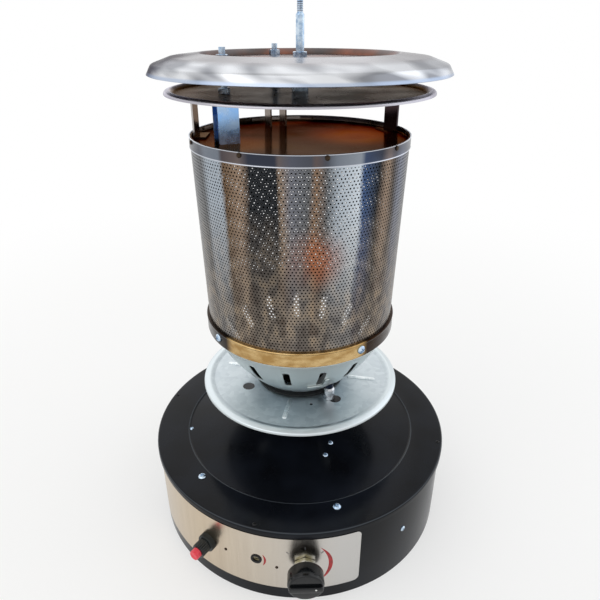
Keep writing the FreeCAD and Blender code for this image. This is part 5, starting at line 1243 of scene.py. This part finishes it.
NUT_BORE = 7.6
NUT_RADIUS = 10.3
igniter_place = facing(IGNITER_PLACE[0], 0, IGNITER_PLACE[1])
nut = turned("igniter_ring_nut", rounded([
    (NUT_BORE, PANEL_FACE), (NUT_RADIUS, PANEL_FACE), (NUT_RADIUS, NUT_FRONT, 0.8),
    (NUT_BORE, NUT_FRONT), (NUT_BORE, PANEL_FACE)], 3), 144)
ribbed(nut, 144, 0.8, 9.6)
settle(repeated(nut, [igniter_place], "igniter_ring_nut"), "black_plastic", "igniter_nut",
       coat="ribbed_plastic")

SLEEVE_BORE = 7.3
SLEEVE_RADIUS = 7.95
BARREL_END = 196.1
sleeve = turned("igniter_grip", rounded([
    (SLEEVE_BORE, NUT_FRONT), (SLEEVE_RADIUS, NUT_FRONT + 0.3), (SLEEVE_RADIUS, BARREL_END - 0.9, 0.5),
    (SLEEVE_BORE, BARREL_END - 0.7), (SLEEVE_BORE, NUT_FRONT)], 3), 80)
ribbed(sleeve, 80, 0.6, 7.6)
settle(repeated(sleeve, [igniter_place], "igniter_grip"), "black_plastic", coat="ribbed_plastic")

BUTTON_RADIUS = 5.5
BUTTON_BACK = 167
BUTTON_END = 202.6
button = turned("red_button", rounded([
    (0, BUTTON_BACK), (BUTTON_RADIUS, BUTTON_BACK), (BUTTON_RADIUS, BUTTON_END, 1.0),
    (4.3, BUTTON_END, 0.3), (4.0, BUTTON_END - 0.6, 0.3), (0, BUTTON_END - 0.8)], 4), 64)
settle(repeated(button, [igniter_place], "red_button"), "red_plastic", "igniter_button", body="button")

# %% [markdown]
# ## Adjuster ring
# A small black ring holds the slotted adjuster between the knob and the igniter. Only its lip stands
# out of the panel, and behind it the bush runs inwards in the same outline.

# %% Adjuster ring
BUSH_BACK = 165
BUSH_BORE = 3.6
BUSH_RADIUS = 4.9
RING_FRONT = PANEL_FACE + 1.1
collar = turned("adjuster_ring", rounded([
    (BUSH_BORE, BUSH_BACK), (BUSH_RADIUS, BUSH_BACK), (BUSH_RADIUS, PANEL_FACE), (6.2, PANEL_FACE, 0.2),
    (6.0, RING_FRONT, 0.45), (4.3, RING_FRONT, 0.3), (BUSH_BORE, RING_FRONT - 0.8),
    (BUSH_BORE, BUSH_BACK)], 4), 64)
adjuster_place = facing(ADJUSTER_PLACE[0], 0, ADJUSTER_PLACE[1])
settle(repeated(collar, [adjuster_place], "adjuster_ring"), "black_fastener", "adjuster_bush")

# %% [markdown]
# ## Screws
# All screws are pan heads with a cross recess. One is modelled standing on the underside of its head:
# a turned outline with a domed top, and two crossed bars cut into it. It is then copied to each place.

# %% Screws
CONE_SLOPE = math.degrees(math.atan2(CONE_RISE, cone_edge - COLLAR_RADIUS + 0.5))


def pan_head(head, high, shank, length):
    """Screw with a domed head and a cross recess, the underside of its head at the origin."""
    screw = turned("screw", [(0, -length), (shank, -length), (shank, 0), (head, 0)]
                   + bowed((head, high * 0.3), (0, high), head * 0.16, 7), 36)
    for turn in (20, 110):
        slot = oblong_bar(head * 0.26, head * 1.15, high, head * 0.05, 1)
        cut_away(screw, slot, [shift(0, 0, high * 0.95) @ rotation(turn, "Z")])
    return screw


def on_cone(azimuth, radius):
    """Place on the cover's cone."""
    height = cone_foot + (cone_edge - radius) * math.tan(math.radians(CONE_SLOPE))
    return upright(azimuth, radius, height, CONE_SLOPE)


SCREWS = (
    ("cover_screw_heads", "zinc_fastener", ["cover_screws"], (4.3, 2.4, 2, 9),
     [upright(azimuth, 151, cover_top) for azimuth in (-47, 15, 133, 195)]),
    ("left_cover_screw", "zinc_fastener", [], (2.6, 1.2, 1.2, 3), [upright(-81.4, 138.5, cone_foot)]),
    ("rim_screw_heads", "black_fastener", ["rim_screws"], (2.2, 0.9, 1.4, 5),
     [upright(-15.5 + 90 * k, 174.5, cover_top) for k in range(4)]),
    ("wall_screw_heads", "zinc_fastener", ["wall_screws"], (3.2, 1.9, 2, 9),
     [facing(39.9 + 120 * k, wall_radius, 59.7) for k in range(3)]),
    ("tilt_screw_heads", "zinc_fastener", ["tilt_switch_screws"], (2.9, 1.6, 1.4, 7),
     [on_cone(30.9, 70.6), on_cone(20.7, 83.6)]),
    ("ring_screw_heads", "zinc_fastener", ["base_ring_screws"], (4.6, 2.8, 2, 10),
     [facing(-54 + 90 * k, ring_radius - RING_FLARE, ring_foot + 9.3) for k in range(4)]))
for name, slot, replaced, sizes, places in SCREWS:
    settle(repeated(pan_head(*sizes), places, name), slot, *replaced)

# %% [markdown]
# ## Nuts and stud on top
# Six small nuts and two large ones clamp the plates. The stud ends in a thinner threaded tip for the
# reflector. The thread is drawn as close rings, because its lead can't be seen at this size.

# %% Nuts and stud
LARGE_NUT = 6
SMALL_NUT = 5
HANGER_AT = 75
HANGER_AZIMUTHS = (-67, 201)
large = joined([hexagon_nut("large_nuts", 13, low, low + LARGE_NUT, STUD_HOLE)
                for low in (PAN_FLOOR, flange_under - LARGE_NUT)])
settle(large, "zinc_fastener", "stud_nuts")
small = hexagon_nut("small_nut", 10, 0, SMALL_NUT, 3.1)
levels = (FLANGE_TOP, PAN_FLOOR - PAN_SHEET - SMALL_NUT, PAN_FLOOR)
places = [upright(azimuth, HANGER_AT, height) for azimuth in HANGER_AZIMUTHS for height in levels]
settle(repeated(small, places, "small_nuts"), "zinc_fastener", "hanger_nuts")


def threaded(radius, low, high, pitch, depth):
    """Outline of close rings from low to high."""
    points = []
    for turn in range(int((high - low) / pitch)):
        points += [(radius - depth, low + turn * pitch), (radius, low + (turn + 0.5) * pitch)]
    return points + [(radius - depth, high)]


STUD_FOOT = flange_under - 8
STUD_SHOULDER = 567
STUD_TIP = 582
TIP_RADIUS = 3
stud = turned("threaded_stud", [(0, STUD_FOOT)]
              + threaded(STUD_RADIUS, STUD_FOOT, STUD_SHOULDER - 0.6, 1, 0.15)
              + [(STUD_RADIUS - 0.5, STUD_SHOULDER)]
              + threaded(TIP_RADIUS, STUD_SHOULDER, STUD_TIP - 0.6, 1.5, 0.45)
              + [(TIP_RADIUS - 1, STUD_TIP), (0, STUD_TIP)], 48)
settle(stud, "zinc_fastener", "reflector_stud")

# %% [markdown]
# ## Pilot
# The pilot burner stands in a notch of the bowl: a nickelled body with a hexagon for the spanner,
# and above it a blued hood with two windows, where the small flame burns.

# %% Pilot
HOOD_HIGH = 13
HOOD_RADIUS = 4.6
HOOD_BORE = 2.4
pilot_place = [upright(PILOT_AZIMUTH, PILOT_AT, 0)]
pilot_foot = disc_middle + SHEET / 2
body_top = pilot_foot + 15
hood_top = body_top + HOOD_HIGH
hood = turned("pilot_hood", rounded([
    (0, body_top), (HOOD_RADIUS, body_top), (HOOD_RADIUS, hood_top, 0.8), (HOOD_BORE, hood_top),
    (HOOD_BORE, body_top + 3), (0, body_top + 3)], 4), 64)
window = oblong_bar(3, 5.5, 30, 0.9)
cut_away(hood, window, [upright(turn, 0, body_top + 8, 90) for turn in (0, 90)])
settle(repeated(hood, pilot_place, "pilot_hood"), "mirror_steel", coat="blued_steel")
pilot = turned("pilot_body", rounded([
    (0, pilot_foot), (4.8, pilot_foot), (5.2, pilot_foot + 6), (6.2, pilot_foot + 6.5, 0.3),
    (6.2, body_top - 2, 0.6), (4.4, body_top, 0.4), (0, body_top)], 4), 64)
combine(pilot, hexagon_nut("spanner_hexagon", 11.5, pilot_foot, pilot_foot + 5, 4.4), "UNION")
settle(repeated(pilot, pilot_place, "pilot_body"), "mirror_steel", "pilot_burner", coat="pilot_nickel")

# %% [markdown]
# ## Finishes of the CAD nodes
# The nodes that stay as CAD made them take the finish of their own material slot, as the record
# names it, so that nothing is left in plain grey.

# %% Finishes of the CAD nodes
for subpart in frame["record"]["subparts"]:
    node = nodes[subpart["node"]]
    node.data.materials.clear()
    node.data.materials.append(finish[subpart["material_slot"]])
nodes["hanger_brackets"].data.materials[0] = finish["window_reflection_bracket"]

# %% [markdown]
# ## World
# A white cove. The world is white to the camera and to reflections and a little weaker as a light,
# so that metals show a bright room and nothing burns out.

# %% World
WORLD_LIGHT = 0.8
world = bpy.data.worlds.new("studio")
scene.world = world
world.use_nodes = True
tree = world.node_tree


def seen_directly(tree):
    """1 for camera, glossy and transmission rays, 0 for diffuse ones."""
    ray = tree.nodes.new("ShaderNodeLightPath")
    seen = ray.outputs["Is Camera Ray"]
    for name in ("Is Glossy Ray", "Is Transmission Ray"):
        seen = add_node(tree, "Math", {0: seen, 1: ray.outputs[name]}, operation="MAXIMUM")
    return seen


level = add_node(tree, "MapRange", {"Value": seen_directly(tree), "To Min": WORLD_LIGHT})
background = tree.nodes["Background"]
feed(tree, background.inputs["Color"], "ffffff")
feed(tree, background.inputs["Strength"], level)

# %% [markdown]
# ## Floor
# The floor is a wide pale plane that keeps the shadow. Far from the heater it fades into the white
# of the world for every ray that sees it directly, so that no horizon shows.

# %% Floor
FLOOR_SIZE = 60
FLOOR_GAP = 0.4
FADE_START = 0.5
FADE_END = 1.4
NEAR_WHITE = 0.5
bpy.ops.object.select_all(action="DESELECT")
bpy.ops.mesh.primitive_plane_add(size=FLOOR_SIZE, location=(0, 0, -FLOOR_GAP * MM))
floor = bpy.context.object
floor.name = "floor"
floor_paint, tree, shader, place = new_finish("pale_studio_floor", "f2f2f0", 0, 0.7)
distance = add_node(tree, "VectorMath", {0: place}, operation="LENGTH").node.outputs["Value"]
fade = add_node(tree, "MapRange", {"Value": distance, "From Min": FADE_START, "From Max": FADE_END,
                                   "To Min": NEAR_WHITE}, interpolation_type="SMOOTHSTEP")
glow = add_node(tree, "Emission", {"Color": "ffffff", "Strength": 1})
mixed = add_node(tree, "MixShader", {0: overlap(tree, fade, seen_directly(tree)),
                                     1: shader.outputs[0], 2: glow})
feed(tree, tree.nodes["Material Output"].inputs["Surface"], mixed)
floor.data.materials.append(floor_paint)
floor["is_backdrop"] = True

# %% [markdown]
# ## Lamps
# Three soft lamps: the key from the left front, a cool window from the right, and a weaker one from
# behind that parts the black housing from the floor.

# %% Lamps
LAMP_AIM = Vector((0, 0, 0.25))
LAMPS = (("key_lamp", (-1.2, -1.1, 1.7), 2.2, 10, "ffffff"),
         ("window_lamp", (1.7, 0.4, 1.1), 2.2, 8, "eef4ff"),
         ("back_lamp", (-0.6, 1.6, 1.5), 2.4, 6, "ffffff"))
for name, spot, size, power, colour in LAMPS:
    lamp = bpy.data.lights.new(name, "AREA")
    lamp.size = size
    lamp.energy = power
    lamp.color = srgb(colour)[:3]
    stand = bpy.data.objects.new(name, lamp)
    stand.location = spot
    stand.rotation_euler = (LAMP_AIM - Vector(spot)).to_track_quat("-Z", "Y").to_euler()
    scene.collection.objects.link(stand)
print(len(LAMPS), "lamps")

# %% [markdown]
# ## Finish
# The box of the finished scene is worked out, from every object that renders except the floor.

# %% Finish
low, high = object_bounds()
